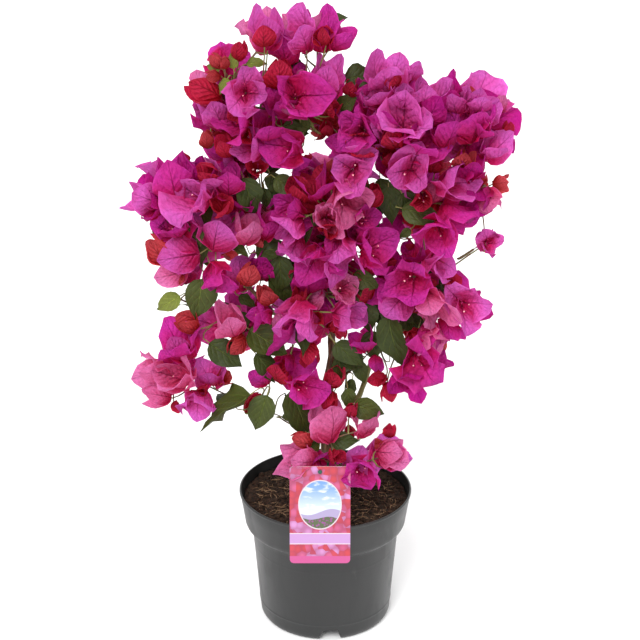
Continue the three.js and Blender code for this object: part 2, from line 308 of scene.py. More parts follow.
def blade_material(name, colours, roughness, glow, depth, turn, veins, share, side, quilt):
    """A papery bract's or a leaf's finish; glow is the share of the light let through from behind."""
    mat, nodes, shader = new_material(name, roughness, specular=0.2)
    place = nodes.add("UVMap", uv_map="OFBake")
    inputs = {
        "Place": place, "Root Colour": colours["root"], "Tip Colour": colours["tip"],
        "Vein Colour": colours["vein"], "Margin Colour": colours["margin"],
        "Turn": turn, "Veins": veins, "Vein Share": share, "Side Share": side, "Quilt": quilt,
    }
    pattern = nodes.tree.nodes.new("ShaderNodeGroup")
    pattern.node_tree = BLADE_GROUP
    for label, value in inputs.items():
        nodes.feed(pattern.inputs[label], value)
    patches = nodes.noise(nodes.object_place(), 55.0, 2.0)
    patchy = nodes.ramp(patches, 0.42, 0.62, 0.0, 0.28)
    colour = nodes.mix(patchy, pattern.outputs["Colour"], colours["patch"])
    nodes.feed(shader.inputs["Base Color"], colour)
    relief(nodes, shader, pattern.outputs["Height"], depth)
    through = nodes.add("BsdfTranslucent", {"Color": colour})
    both = nodes.add("MixShader", {0: glow, 1: shader.outputs[0], 2: through})
    output = nodes.tree.nodes["Material Output"]
    nodes.tree.links.new(both, output.inputs["Surface"])
    return mat


BRACT_TONES = {
    "magenta": {"root": (0.60, 0.004, 0.068), "tip": (0.64, 0.036, 0.39)},
    # Deep is a darker copy of magenta: partly a real darker bract, partly painted shade for trios that sit
    # in shadow.
    "deep": {"root": (0.48, 0.003, 0.052), "tip": (0.53, 0.012, 0.28)},
    # Lilac is a real paler tone; its tip is made lighter still as a painted highlight.
    "lilac": {"root": (0.64, 0.008, 0.115), "tip": (0.73, 0.125, 0.56)},
    "rose": {"root": (0.67, 0.022, 0.120), "tip": (0.80, 0.200, 0.48)},
    "crimson": {"root": (0.47, 0.004, 0.015), "tip": (0.64, 0.022, 0.085)},
    "scarlet": {"root": (0.50, 0.018, 0.016), "tip": (0.71, 0.085, 0.110)},
}
LEAF_TONES = {
    "dark": {"root": (0.034, 0.046, 0.008), "tip": (0.028, 0.039, 0.008)},
    "olive": {"root": (0.052, 0.068, 0.012), "tip": (0.046, 0.058, 0.012)},
    "young": {"root": (0.16, 0.20, 0.030), "tip": (0.13, 0.15, 0.028)},
}


def bract_material(tone):
    """A bract: crimson at its root, magenta to lilac at its rim, with a dark midrib and faint veins."""
    young = tone in ("crimson", "scarlet")
    colours = dict(BRACT_TONES[tone])
    colours["vein"] = tuple(0.42 * value for value in colours["root"])
    colours["margin"] = tuple(min(1.0, 1.25 * value + 0.02) for value in colours["tip"])
    ends = zip(colours["root"], colours["tip"])
    colours["patch"] = tuple(0.75 * root + 0.25 * tip for root, tip in ends)
    turn, share, side, quilt = (0.8, 0.7, 0.6, 0.6) if young else (0.85, 0.6, 0.36, 0.35)
    return blade_material(
        "bract_" + tone, colours, roughness=0.60, glow=0.54, depth=2.6 * MM,
        turn=turn, veins=6.5, share=share, side=side, quilt=quilt,
    )


def leaf_material(tone):
    """A leaf: olive, paler along its veins."""
    colours = dict(LEAF_TONES[tone])
    colours["vein"] = tuple(2.8 * value for value in colours["root"])
    colours["margin"] = tuple(1.15 * value for value in colours["tip"])
    colours["patch"] = tuple(1.25 * value for value in colours["root"])
    return blade_material(
        "leaf_" + tone, colours, roughness=0.46, glow=0.15, depth=0.6 * MM,
        turn=0.4, veins=5.0, share=0.75, side=0.42, quilt=0.5,
    )


def plastic_material():
    """Grey moulded plastic with a soft sheen, scuffs and a little dust."""
    mat, nodes, shader = new_material("pot_plastic", roughness=0.42, specular=0.62)
    place = nodes.object_place()
    scuff = nodes.noise(nodes.object_place((1, 1, 0.35)), 60.0, 6.0, 0.65)
    cloud = nodes.noise(place, 9.0, 3.0)
    colour = nodes.mix(nodes.ramp(cloud, 0.35, 0.7), (0.0035, 0.004, 0.004), (0.007, 0.0075, 0.0075))
    colour = nodes.mix(nodes.ramp(scuff, 0.62, 0.74, 0.0, 0.35), colour, (0.075, 0.075, 0.073))
    nodes.feed(shader.inputs["Base Color"], colour)
    nodes.feed(shader.inputs["Roughness"], nodes.ramp(scuff, 0.4, 0.75, 0.36, 0.52))
    grain = nodes.noise(place, 900.0, 2.0)
    relief(nodes, shader, grain, 0.05 * MM)
    return mat


def soil_material(name, dark, light):
    """Damp crumbs, from nearly black to brown."""
    mat, nodes, shader = new_material(name, roughness=0.95, specular=0.2)
    place = nodes.object_place()
    coarse = nodes.noise(place, 260.0, 5.0, 0.65)
    fine = nodes.noise(place, 1100.0, 3.0)
    colour = nodes.mix(nodes.ramp(coarse, 0.35, 0.68), dark, light)
    nodes.feed(shader.inputs["Base Color"], colour)
    relief(nodes, shader, nodes.maths("ADD", coarse, nodes.maths("MULTIPLY", fine, 0.4)), 1.2 * MM)
    return mat


def bark_material():
    """Brown bark with grey ridges that run along the limb."""
    mat, nodes, shader = new_material("bark", roughness=0.85, specular=0.25)
    along = nodes.add("UVMap", uv_map="Grain")
    ridges = nodes.noise(nodes.add("Mapping", {"Vector": along, "Scale": (14.0, 60.0, 1.0)}), 1.0, 5.0, 0.6)
    patches = nodes.noise(nodes.object_place(), 90.0, 4.0)
    colour = nodes.mix(nodes.ramp(ridges, 0.36, 0.66), (0.055, 0.028, 0.016), (0.23, 0.135, 0.075))
    colour = nodes.mix(nodes.ramp(patches, 0.55, 0.75, 0.0, 0.6), colour, (0.30, 0.23, 0.16))
    nodes.feed(shader.inputs["Base Color"], colour)
    relief(nodes, shader, ridges, 0.9 * MM)
    return mat


def shoot_material(name, green, brown):
    """A thin shoot's skin: green that turns brown in patches."""
    mat, nodes, shader = new_material(name, roughness=0.6, specular=0.3)
    patches = nodes.noise(nodes.object_place((1, 1, 0.5)), 120.0, 4.0)
    colour = nodes.mix(nodes.ramp(patches, 0.38, 0.66), green, brown)
    nodes.feed(shader.inputs["Base Color"], colour)
    relief(nodes, shader, patches, 0.3 * MM)
    return mat


def petal_material(name, colour, shade):
    """A small soft part of a flower."""
    mat, nodes, shader = new_material(name, roughness=0.55, specular=0.3)
    patches = nodes.noise(nodes.object_place(), 400.0, 2.0)
    nodes.feed(shader.inputs["Base Color"], nodes.mix(nodes.ramp(patches, 0.3, 0.7), shade, colour))
    return mat


# ---- Pot ----

POT = {
    "foot": 59.5 * MM, "foot_wall": 4 * MM, "pad": 22 * MM,
    "recess": 13.5 * MM, "floor": 2 * MM, "wall": 1.9 * MM,
    "heel": (65.6 * MM, 9 * MM), "shoulder": (72.3 * MM, 93 * MM), "collar": (80 * MM, 107 * MM),
    "lip_height": 2.8 * MM, "lip_step": 0.8 * MM, "lip_width": 2.0 * MM,
}
SPIN_STEPS = 160
NOTCH = {"count": 4, "foot": 24 * MM, "top": 14.5 * MM, "height": 12.5 * MM, "turn": math.radians(4)}
DRAIN = {"count": 4, "radius": 5 * MM, "ring": 40 * MM}


def eased(start, end, steps, leave="out"):
    """Points of a quarter round from start to end, leaving sideways ("out") or upright ("up")."""
    points = []
    for i in range(steps + 1):
        angle = i / steps * math.pi / 2
        early = math.sin(angle)
        late = 1 - math.cos(angle)
        across, rise = (early, late) if leave == "out" else (late, early)
        points.append((between(start[0], end[0], across), between(start[1], end[1], rise)))
    return points


def pot_section():
    """The pot's section: from under its middle up the outside, over the lip and down to its floor."""
    low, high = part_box("pot")
    rim = (high.x - low.x) / 2
    top = high.z
    heel, shoulder, collar = POT["heel"], POT["shoulder"], POT["collar"]
    ring = POT["foot"] - POT["foot_wall"]
    pad_edge = POT["pad"] + 2 * MM
    under = [(0, 0), (POT["pad"], 0), (pad_edge, POT["recess"]), (ring - MM, POT["recess"]), (ring, 0)]
    slope = (shoulder[0] - heel[0]) / (shoulder[1] - heel[1])
    wall_at = lambda z: heel[0] + slope * (z - heel[1])
    line = 0.25 * MM
    outside = eased((POT["foot"], 0), heel, 6)
    for seam, rise in ((17.8 * MM, line), (80 * MM, line / 3)):
        steps = ((-2.5, 0), (-0.6, 0), (0, rise), (0.6, 0), (2.5, 0))
        outside += [(wall_at(seam + step * MM) + bump, seam + step * MM) for step, bump in steps]
    middle = (between(shoulder[0], collar[0], 0.42), between(shoulder[1], collar[1], 0.5))
    outside += eased(shoulder, middle, 4, "up") + eased(middle, collar, 4)[1:]
    under_lip = (rim - POT["lip_step"], top - POT["lip_height"])
    outside += [(between(collar[0], under_lip[0], 0.5), between(collar[1], under_lip[1], 0.5))]
    outside += [(under_lip[0], under_lip[1] - 0.8 * MM), (under_lip[0] - 0.2 * MM, under_lip[1])]
    outside += eased((under_lip[0] + 0.2 * MM, under_lip[1] + 0.2 * MM), (rim, under_lip[1] + MM), 3)
    outside += eased((rim, top - 1.1 * MM), (rim - MM, top), 3, "up")
    thick = POT["wall"]
    inner_lip = rim - POT["lip_width"]
    floor = POT["recess"] + POT["floor"]
    inside = [(inner_lip + 0.3 * MM, top - 0.2 * MM), (inner_lip, top - 3 * MM)]
    inside += [(collar[0] - thick, collar[1]), (shoulder[0] - thick, shoulder[1])]
    inside += [(heel[0] - thick, floor)]
    inside += [(pad_edge, floor), (POT["pad"], POT["floor"]), (0, POT["floor"])]
    return under + outside + inside


def spun(section, steps):
    """A closed solid turned round the upright axis from its section."""
    bm = bmesh.new()
    corners = [bm.verts.new((radius, 0, height)) for radius, height in section]
    edges = [bm.edges.new(pair) for pair in zip(corners, corners[1:])]
    bmesh.ops.spin(
        bm, geom=corners + edges, cent=(0, 0, 0), axis=(0, 0, 1),
        angle=FULL_TURN, steps=steps, use_merge=True
    )
    bmesh.ops.remove_doubles(bm, verts=bm.verts, dist=0.01 * MM)
    bmesh.ops.recalc_face_normals(bm, faces=bm.faces)
    return bm


def notch_cutter(turn):
    """A block that narrows upwards and reaches through the foot ring at the given turn."""
    bm = bmesh.new()
    bmesh.ops.create_cube(bm, size=1)
    narrow = NOTCH["top"] / NOTCH["foot"]
    inner = POT["foot"] - POT["foot_wall"] - 3 * MM
    outer = POT["heel"][0] + 2 * MM
    for corner in bm.verts:
        share = narrow if corner.co.z > 0 else 1.0
        corner.co.x *= NOTCH["foot"] * share
        corner.co.y = -outer if corner.co.y < 0 else -inner
        corner.co.z = NOTCH["height"] if corner.co.z > 0 else -MM
    bmesh.ops.rotate(bm, verts=bm.verts, matrix=Matrix.Rotation(turn, 3, "Z"))
    return bm


def drain_cutter(turn):
    """An upright rod through the floor."""
    bm = bmesh.new()
    bmesh.ops.create_cone(
        bm, cap_ends=True, segments=24, radius1=DRAIN["radius"], radius2=DRAIN["radius"], depth=10 * MM
    )
    place = (DRAIN["ring"] * math.cos(turn), DRAIN["ring"] * math.sin(turn), POT["recess"])
    bmesh.ops.translate(bm, verts=bm.verts, vec=place)
    return bm


def cut_away(mesh, cutters):
    """The mesh less every cutter."""
    body = bpy.data.objects.new("body", mesh)
    bpy.context.collection.objects.link(body)
    group = bpy.data.meshes.new("cutters")
    merged = bmesh.new()
    for cutter in cutters:
        cutter.to_mesh(group)
        cutter.free()
        merged.from_mesh(group)
    merged.to_mesh(group)
    merged.free()
    tool = bpy.data.objects.new("cutters", group)
    bpy.context.collection.objects.link(tool)
    step = body.modifiers.new("cut", "BOOLEAN")
    step.operation = "DIFFERENCE"
    step.solver = "EXACT"
    step.object = tool
    result = bpy.data.meshes.new_from_object(body.evaluated_get(bpy.context.evaluated_depsgraph_get()))
    bpy.data.objects.remove(body)
    bpy.data.objects.remove(tool)
    return result


def make_pot():
    """The pot: its turned wall with foot notches and drain holes."""
    mesh = finished_mesh("pot_shell", spun(pot_section(), SPIN_STEPS))
    turns = [NOTCH["turn"] + i / NOTCH["count"] * FULL_TURN for i in range(NOTCH["count"])]
    cutters = [notch_cutter(turn) for turn in turns]
    cutters += [drain_cutter((i + 0.5) / DRAIN["count"] * FULL_TURN) for i in range(DRAIN["count"])]
    mesh = cut_away(mesh, cutters)
    mesh.shade_smooth()
    mesh.set_sharp_from_angle(angle=math.radians(32))
    keep("pot_shell", mesh, plastic_material(), ["pot"])


# ---- Soil ----

SOIL_RINGS = 44
SOIL_RELIEF = 2.2 * MM
SOIL_GAP = 0.4 * MM
CRUMBS = 1700
FIBRES = 330


def soil_height(x, y):
    """How far the soil's surface stands up or dips at a place."""
    coarse = noise.noise(Vector((x * 55, y * 55, 0.3)))
    fine = noise.fractal(Vector((x * 210, y * 210, 4.2)), 0.8, 2.1, 4)
    return SOIL_RELIEF * (0.5 * coarse + 0.55 * fine)


def make_soil():
    """The soil in the pot: a crumbled bed with crumbs and fibres on it."""
    low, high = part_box("soil")
    radius = (high.x - low.x) / 2
    top = high.z
    floor = POT["recess"] + POT["floor"] + SOIL_GAP
    thick = POT["wall"] + SOIL_GAP
    section = [(0, floor), (POT["heel"][0] - thick, floor)]
    section += [(POT[part][0] - thick, POT[part][1]) for part in ("shoulder", "collar")]
    section += [(radius, top - 2 * MM)]
    section += [(radius * (1 - i / SOIL_RINGS), top - MM) for i in range(1, SOIL_RINGS + 1)]
    bm = spun(section, 180)
    for corner in bm.verts:
        if corner.co.z > top - 3 * MM:
            corner.co.z += min(soil_height(corner.co.x, corner.co.y), 2.5 * MM)
    earth = soil_material("damp_soil", (0.009, 0.005, 0.003), (0.050, 0.026, 0.015))
    keep("soil_bed", finished_mesh("soil_bed", bm, 180), earth, ["soil"])
    rng = np.random.default_rng(11)
    keep("soil_crumbs", crumbs_mesh(rng, radius, top), earth)
    fibre = soil_material("dry_fibre", (0.085, 0.048, 0.026), (0.26, 0.16, 0.090))
    keep("soil_fibres", fibres_mesh(rng, radius, top), fibre)


def soil_spots(rng, count, radius):
    """Places spread evenly over the soil, away from its very middle."""
    reach = np.sqrt(rng.uniform(0.02, 0.97, count)) * radius
    turn = rng.uniform(0, FULL_TURN, count)
    return reach * np.cos(turn), reach * np.sin(turn)


def crumbs_mesh(rng, radius, top):
    """Loose lumps of soil."""
    bm = bmesh.new()
    bmesh.ops.create_icosphere(bm, subdivisions=1, radius=1)
    template = Template(bm)
    xs, ys = soil_spots(rng, CRUMBS, radius - 2 * MM)
    sizes = rng.gamma(3.0, 0.42, CRUMBS).clip(0.5, 3.4) * MM
    places = np.empty((CRUMBS, len(template.corners), 3))
    for i in range(CRUMBS):
        shape = rng.uniform(0.55, 1.15, 3) * sizes[i]
        turn = np.array(Matrix.Rotation(rng.uniform(0, FULL_TURN), 3, Vector(rng.normal(size=3))))
        lumps = 1 + rng.normal(0, 0.14, (len(template.corners), 1))
        height = top - MM + soil_height(xs[i], ys[i]) + 0.25 * sizes[i]
        places[i] = (template.corners * lumps * shape) @ turn.T + (xs[i], ys[i], height)
    return joined_mesh("soil_crumbs", template, places)


def fibres_mesh(rng, radius, top):
    """Strands of coir and bark lying on the soil."""
    paths = []
    xs, ys = soil_spots(rng, FIBRES, radius - 9 * MM)
    for x, y in zip(xs, ys):
        length = rng.uniform(5, 17) * MM
        heading = rng.uniform(0, FULL_TURN)
        sweep = rng.normal(0, 0.9)
        points = []
        for t in np.linspace(-0.5, 0.5, 6):
            angle = heading + sweep * t
            across = x + length * t * math.cos(angle)
            along = y + length * t * math.sin(angle)
            rise = soil_height(across, along) + rng.uniform(0, 0.6) * MM
            points.append((across, along, top - 0.2 * MM + rise))
        thick = rng.uniform(0.18, 0.5) * MM
        paths.append((np.array(points), thick * np.array([0.4, 1, 1, 1, 0.8, 0.3])))
    return tubes_mesh("soil_fibres", paths)


# ---- Card and its tie ----

CARD = {"thickness": 0.8 * MM, "corner": 4 * MM, "hole": 2 * MM, "hole_drop": 5 * MM}
TIE = {"radius": 1.1 * MM, "head": 2.0 * MM}


class CardPlace:
    """Where the leaning card stands: its foot's middle, its way up and its way out to the front."""

    def __init__(self):
        low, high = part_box("tag")
        size = high - low
        lean = math.atan2(size.y - CARD["thickness"], size.z)
        self.width = size.x
        self.height = (size.z - CARD["thickness"] * math.sin(lean)) / math.cos(lean)
        self.up = Vector((0, math.sin(lean), math.cos(lean)))
        self.out = Vector((0, -math.cos(lean), math.sin(lean)))
        self.foot = (low + high) / 2 - self.up * self.height / 2

    def matrix(self):
        columns = Matrix((Vector((1, 0, 0)), self.up, self.out)).transposed().to_4x4()
        return Matrix.Translation(self.foot) @ columns

    def hole(self):
        return self.foot + self.up * (self.height - CARD["hole_drop"])


def print_material(width, height):
    """A plain printed design: petals round an oval of sky and hills, an empty ribbon and a foot band."""
    mat, nodes, shader = new_material("card_print", roughness=0.36, specular=0.5)
    scale = (width / MM, height / MM, 1)
    place = nodes.add("Mapping", {"Vector": nodes.add("UVMap", uv_map="Print"), "Scale": scale})
    split = nodes.add("SeparateXYZ", {"Vector": place}).node.outputs
    across = nodes.maths("SUBTRACT", split["X"], width / MM / 2)
    rise = split["Y"]
    cells = nodes.add("TexVoronoi", {"Vector": place, "Scale": 0.15, "Randomness": 0.8}).node.outputs
    pick = nodes.add("SeparateColor", {"Color": cells["Color"]}).node.outputs
    petals = nodes.mix(nodes.ramp(pick["Red"], 0.3, 0.7), (0.42, 0.035, 0.050), (0.44, 0.075, 0.18))
    petals = nodes.mix(nodes.ramp(pick["Green"], 0.6, 0.75), petals, (0.46, 0.20, 0.42))
    petals = nodes.mix(nodes.ramp(cells["Distance"], 0.15, 0.8, 0.0, 0.55), petals, (0.20, 0.02, 0.06))
    sky = nodes.mix(nodes.ramp(rise, 44.0, 80.0), (0.52, 0.58, 0.66), (0.13, 0.25, 0.50))
    cloud = nodes.noise(nodes.add("Mapping", {"Vector": place, "Scale": (0.07, 0.16, 1)}), 1.0, 4.0)
    sky = nodes.mix(nodes.ramp(cloud, 0.5, 0.66), sky, (0.60, 0.62, 0.66))
    hills = nodes.maths("SINE", nodes.maths("MULTIPLY", across, 0.14))
    crest = nodes.maths("ADD", nodes.maths("MULTIPLY", hills, 3.0), 50.0)
    sky = nodes.mix(nodes.maths("LESS_THAN", rise, crest), sky, (0.30, 0.25, 0.40))
    dots = nodes.add("TexVoronoi", {"Vector": place, "Scale": 0.42}).node.outputs
    field = nodes.mix(nodes.ramp(dots["Distance"], 0.2, 0.55), (0.24, 0.05, 0.22), (0.07, 0.09, 0.04))
    crest = nodes.maths("SUBTRACT", crest, nodes.maths("ADD", nodes.maths("MULTIPLY", across, 0.16), 6.0))
    sky = nodes.mix(nodes.maths("LESS_THAN", rise, crest), sky, field)
    wide = nodes.maths("POWER", nodes.maths("DIVIDE", across, 19.5), 2.0)
    tall = nodes.maths("POWER", nodes.maths("DIVIDE", nodes.maths("SUBTRACT", rise, 57.0), 23.0), 2.0)
    oval = nodes.maths("ADD", wide, tall)
    colour = nodes.mix(nodes.maths("LESS_THAN", oval, 1.10), petals, (0.50, 0.44, 0.47))
    colour = nodes.mix(nodes.maths("LESS_THAN", oval, 1.0), colour, sky)
    for half_width, ink in ((5.5, (0.50, 0.42, 0.48)), (4.6, (0.40, 0.22, 0.44))):
        ribbon = nodes.maths("COMPARE", rise, 24.0)
        ribbon.node.inputs[2].default_value = half_width
        colour = nodes.mix(ribbon, colour, ink)
    colour = nodes.mix(nodes.maths("LESS_THAN", rise, 7.0), colour, (0.42, 0.06, 0.20))
    nodes.feed(shader.inputs["Base Color"], colour)
    relief(nodes, shader, nodes.noise(place, 0.6, 2.0), 0.05 * MM)
    return mat


def card_back_material():
    """The card's bare back and cut edges: off-white board with a faint fibre."""
    mat, nodes, shader = new_material("card_back", roughness=0.6, specular=0.3)
    fibre = nodes.noise(nodes.object_place((1, 1, 0.3)), 500.0, 4.0)
    nodes.feed(shader.inputs["Base Color"], nodes.mix(fibre, (0.74, 0.72, 0.70), (0.82, 0.80, 0.79)))
    return mat


def make_card():
    """The picture card that leans on the rim, with its print in front and a bare back."""
    card = CardPlace()
    bm = bmesh.new()
    layer = bm.loops.layers.uv.new("Print")
    bmesh.ops.create_grid(bm, x_segments=1, y_segments=1, size=0.5)
    bmesh.ops.scale(bm, verts=bm.verts, vec=(card.width, card.height, 1))
    bmesh.ops.bevel(
        bm, geom=bm.verts[:], offset=CARD["corner"], affect="VERTICES",
        segments=6, profile=0.5, material=-1
    )
    front = bm.faces[:]
    body = bmesh.ops.extrude_face_region(bm, geom=front)["geom"]
    raised = [item for item in body if isinstance(item, bmesh.types.BMVert)]
    bmesh.ops.translate(bm, verts=raised, vec=(0, 0, CARD["thickness"]))
    bmesh.ops.translate(bm, verts=bm.verts, vec=(0, card.height / 2, -CARD["thickness"] / 2))
    bmesh.ops.recalc_face_normals(bm, faces=bm.faces)
    for face in bm.faces:
        for corner in face.loops:
            corner[layer].uv = (corner.vert.co.x / card.width + 0.5, corner.vert.co.y / card.height)
    punch = bmesh.new()
    bmesh.ops.create_cone(
        punch, cap_ends=True, segments=24, radius1=CARD["hole"], radius2=CARD["hole"], depth=5 * MM
    )
    bmesh.ops.translate(punch, verts=punch.verts, vec=(0, card.height - CARD["hole_drop"], 0))
    mesh = cut_away(finished_mesh("card", bm), [punch])
    mesh.transform(card.matrix())
    mesh.set_sharp_from_angle(angle=math.radians(30))
    piece = keep("card", mesh, print_material(card.width, card.height), ["tag"])
    piece.data.materials.append(card_back_material())
    for face in piece.data.polygons:
        face.material_index = 0 if face.normal @ card.out > 0.5 else 1


def make_tie(lines):
    """A green plastic tie: a round head in front of the card and a stem back to the front shoot."""
    card = CardPlace()
    hole = np.array(card.hole())
    out = np.array(card.out)
    shoot = lines["bough_front_left"][0]
    end = shoot[len(shoot) // 2]
    head = [hole + out * depth * MM for depth in (1.9, 1.7, 1.0, 0.7)]
    wide = [TIE["head"] * 0.75, TIE["head"], TIE["head"], TIE["head"] * 0.8]
    stem = bend(hole + out * 0.7 * MM, -out, end, unit(UP - out), 10)
    path = (stem, np.full(10, TIE["radius"]))
    mesh = tubes_mesh("plant_tie", [(np.array(head), wide), path], 6)
    mat, nodes, shader = new_material("tie_plastic", roughness=0.5, specular=0.4)
    cloud = nodes.noise(nodes.object_place(), 700.0, 3.0)
    nodes.feed(shader.inputs["Base Color"], nodes.mix(cloud, (0.010, 0.050, 0.034), (0.022, 0.085, 0.060)))
    keep("plant_tie", mesh, mat, ["tag_tie"])


# ---- Trunk and boughs ----


BARK_SIDES = 22
BARK_STEP = 1.4 * MM
LIMBS = [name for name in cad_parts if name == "trunk" or name.startswith(("bough", "whip"))]
GREEN_LIMBS = ("bough_right", "whip_right", "bough_front", "bough_front_left", "bough_front_right")


def mesh_arrays(node):
    """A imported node's corners and edges."""
    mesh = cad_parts[node].data
    corners = np.empty(len(mesh.vertices) * 3)
    mesh.vertices.foreach_get("co", corners)
    edges = np.empty(len(mesh.edges) * 2, int)
    mesh.edges.foreach_get("vertices", edges)
    return corners.reshape(-1, 3), edges.reshape(-1, 2)


def limb_line(node, steps=12):
    """Middle points and radii of a limb's solid, from the end nearest the trunk's foot to its tip."""
    corners, edges = mesh_arrays(node)
    middle = corners.mean(axis=0)
    axis = np.linalg.svd(corners - middle, full_matrices=False)[2][0]
    foot = np.array([0, 0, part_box("soil")[1].z])
    ends = [corners[np.argmin(corners @ axis)], corners[np.argmax(corners @ axis)]]
    if np.linalg.norm(ends[0] - foot) > np.linalg.norm(ends[1] - foot):
        axis = -axis
    run = corners @ axis
    margin = 0.02 * (run.max() - run.min())
    points, radii = [], []
    for level in np.linspace(run.min() + margin, run.max() - margin, steps):
        first, last = run[edges[:, 0]], run[edges[:, 1]]
        crossing = (first - level) * (last - level) < 0
        share = ((level - first) / np.where(crossing, last - first, 1))[crossing][:, None]
        hits = corners[edges[crossing, 0]] * (1 - share) + corners[edges[crossing, 1]] * share
        centre = (hits.min(axis=0) + hits.max(axis=0)) / 2
        points.append(centre)
        radii.append(np.linalg.norm(hits - centre, axis=1).min())
    return np.array(points), np.array(radii)


def fine_line(points, radii, step):
    """The same line with points a step apart, rounded through the old ones."""
    lengths = np.concatenate([[0], np.cumsum(np.linalg.norm(np.diff(points, axis=0), axis=1))])
    at = np.linspace(0, lengths[-1], max(6, int(lengths[-1] / step)))
    slopes = np.gradient(points, lengths, axis=0)
    spans = np.searchsorted(lengths, at, side="right").clip(1, len(lengths) - 1)
    width = (lengths[spans] - lengths[spans - 1])[:, None]
    t = ((at - lengths[spans - 1]))[:, None] / width
    start, end = points[spans - 1], points[spans]
    out, come = slopes[spans - 1] * width, slopes[spans] * width
    line = (
        (2 * t**3 - 3 * t**2 + 1) * start + (t**3 - 2 * t**2 + t) * out
        + (3 * t**2 - 2 * t**3) * end + (t**3 - t**2) * come
    )
    return line, np.interp(at, lengths, radii), at


def bark_radius(angle, run, seed, radius):
    """A limb's radius at one place on its skin, with ridges along it and knots here and there."""
    ridge = noise.noise(Vector((math.cos(angle) * 2.6 + seed, math.sin(angle) * 2.6, run * 38)))
    strand = noise.noise(Vector((math.cos(angle) * 6 + seed, math.sin(angle) * 6, run * 90)))
    knot = noise.noise(Vector((math.cos(angle) * 0.9, math.sin(angle) * 0.9 + seed, run * 75)))
    return radius * (1 + 0.09 * ridge + 0.06 * strand + 0.22 * max(0.0, knot - 0.25))


def bark_limb(bm, points, radii, seed):
    """Adds one limb with its bark's relief to a bmesh: a grid rolled round the limb's line."""
    line, thickness, run = fine_line(points, radii, BARK_STEP)
    ahead = unit(np.gradient(line, axis=0))
    sides = [unit(np.cross(ahead[0], [0.3, 1, 0.2]))]
    for heading in ahead[1:]:
        sides.append(unit(sides[-1] - heading * (sides[-1] @ heading)))
    rings = len(line) - 1
    grid = bmesh.ops.create_grid(bm, x_segments=BARK_SIDES, y_segments=rings, size=0.5, calc_uvs=True)
    skin = grid["verts"]
    layer = bm.loops.layers.uv.active
    for face in {face for vert in skin for face in vert.link_faces}:
        for corner in face.loops:
            corner[layer].uv.y *= run[-1]
    for vert in skin:
        ring = round((vert.co.y + 0.5) * rings)
        angle = (vert.co.x + 0.5) * FULL_TURN
        out = math.cos(angle) * sides[ring] + math.sin(angle) * np.cross(ahead[ring], sides[ring])
        vert.co = Vector(line[ring] + out * bark_radius(angle, run[ring], seed, thickness[ring]))


def make_limbs(name, lines, mat):
    """Some of the limbs, one after the other, in one piece of bark."""
    bm = bmesh.new()
    bm.loops.layers.uv.new("Grain")
    for seed, (points, radii) in enumerate(lines.values()):
        bark_limb(bm, points, radii, seed * 3.7)
    bmesh.ops.remove_doubles(bm, verts=bm.verts, dist=0.02 * MM)
    bmesh.ops.holes_fill(bm, edges=bm.edges, sides=BARK_SIDES)
    bmesh.ops.recalc_face_normals(bm, faces=bm.faces)
    keep(name, finished_mesh(name, bm, 60), mat, list(lines))


# ---- Blades: the one shape behind bracts and leaves ----

BLADE_STEPS = 60
BLADE_ACROSS = 6
BLADE_ALONG = 9


def blade_template():
    """A flat grid from margin to margin and from root to tip, with rows closer together at both ends."""
    bm = bmesh.new()
    bm.loops.layers.uv.new("OFBake")
    bmesh.ops.create_grid(bm, x_segments=BLADE_ACROSS, y_segments=BLADE_ALONG, size=0.5, calc_uvs=True)
    layer = bm.loops.layers.uv.active
    for vert in bm.verts:
        t = vert.co.y + 0.5
        vert.co.y = between(t, 0.5 - 0.5 * math.cos(math.pi * t), 0.6)
        for corner in vert.link_loops:
            corner[layer].uv.y = vert.co.y
    return Template(bm)


def outline(v, rise, fall):
    """A blade's half width along it, as a share of the widest."""
    peak = rise / (rise + fall)
    full = peak**rise * (1 - peak) ** fall
    return np.maximum(v**rise * (1 - v) ** fall / full, 0.015)


def blade_places(template, blades):
    """Corners of many blades, each grown from its root along its heading and curled off its inside."""
    u = template.corners[:, 0] * 2
    v = template.corners[:, 1]
    column = lambda key: blades[key][:, None]
    steps = np.linspace(0, 1, BLADE_STEPS + 1)
    angle = column("curl") * steps ** column("late")
    ahead = np.cumsum(np.cos(angle), axis=1) / BLADE_STEPS
    away = np.cumsum(np.sin(angle), axis=1) / BLADE_STEPS
    pick = np.rint(v * BLADE_STEPS).astype(int)
    ahead, away, angle = ahead[:, pick] - ahead[:, :1], away[:, pick] - away[:, :1], angle[:, pick]
    half = 0.5 * column("width") * outline(v, column("rise"), column("fall"))
    half = half * (1 + column("skew") * u)
    arc = column("cup") * (1 - 0.75 * column("flatten") * v)
    arc = np.where(np.abs(arc) < 0.02, 0.02, arc)
    sideways = half * np.sin(arc * u) / arc
    lift = half * (1 - np.cos(arc * u)) / arc
    lift += half * np.abs(u) * column("fold")
    margin = np.abs(u) ** 1.9
    ripple = np.sin(FULL_TURN * column("waves") * v + column("phase") + 1.9 * np.sign(u))
    lift += column("wave") * half * margin * ripple
    phase = column("phase")
    lift += column("crimp") * half * np.cos(2.2 * u + phase) * np.sin(9.0 * v + 2.0 * phase)
    lift += column("twist") * half * u * v
    back = column("lobe") * half * np.abs(u) ** 1.5 * np.exp(-((v / 0.17) ** 2))
    length = column("length")
    heading, inside = blades["heading"][:, None, :], blades["inside"][:, None, :]
    side = np.cross(heading, inside)
    cos, sin = np.cos(angle)[..., None], np.sin(angle)[..., None]
    forward = heading * cos - inside * sin
    inward = inside * cos + heading * sin
    middle = blades["root"][:, None, :] + (length * ahead)[..., None] * heading
    middle = middle - (length * away)[..., None] * inside
    return middle + sideways[..., None] * side + lift[..., None] * inward - back[..., None] * forward


class Blades:
    """A growing list of blades, one entry of each value for each blade."""

    def __init__(self):
        self.rows = []

    def add(self, **values):
        self.rows.append(values)

    def arrays(self):
        return {key: np.array([row[key] for row in self.rows], float) for key in self.rows[0]}


# ---- The crown ----


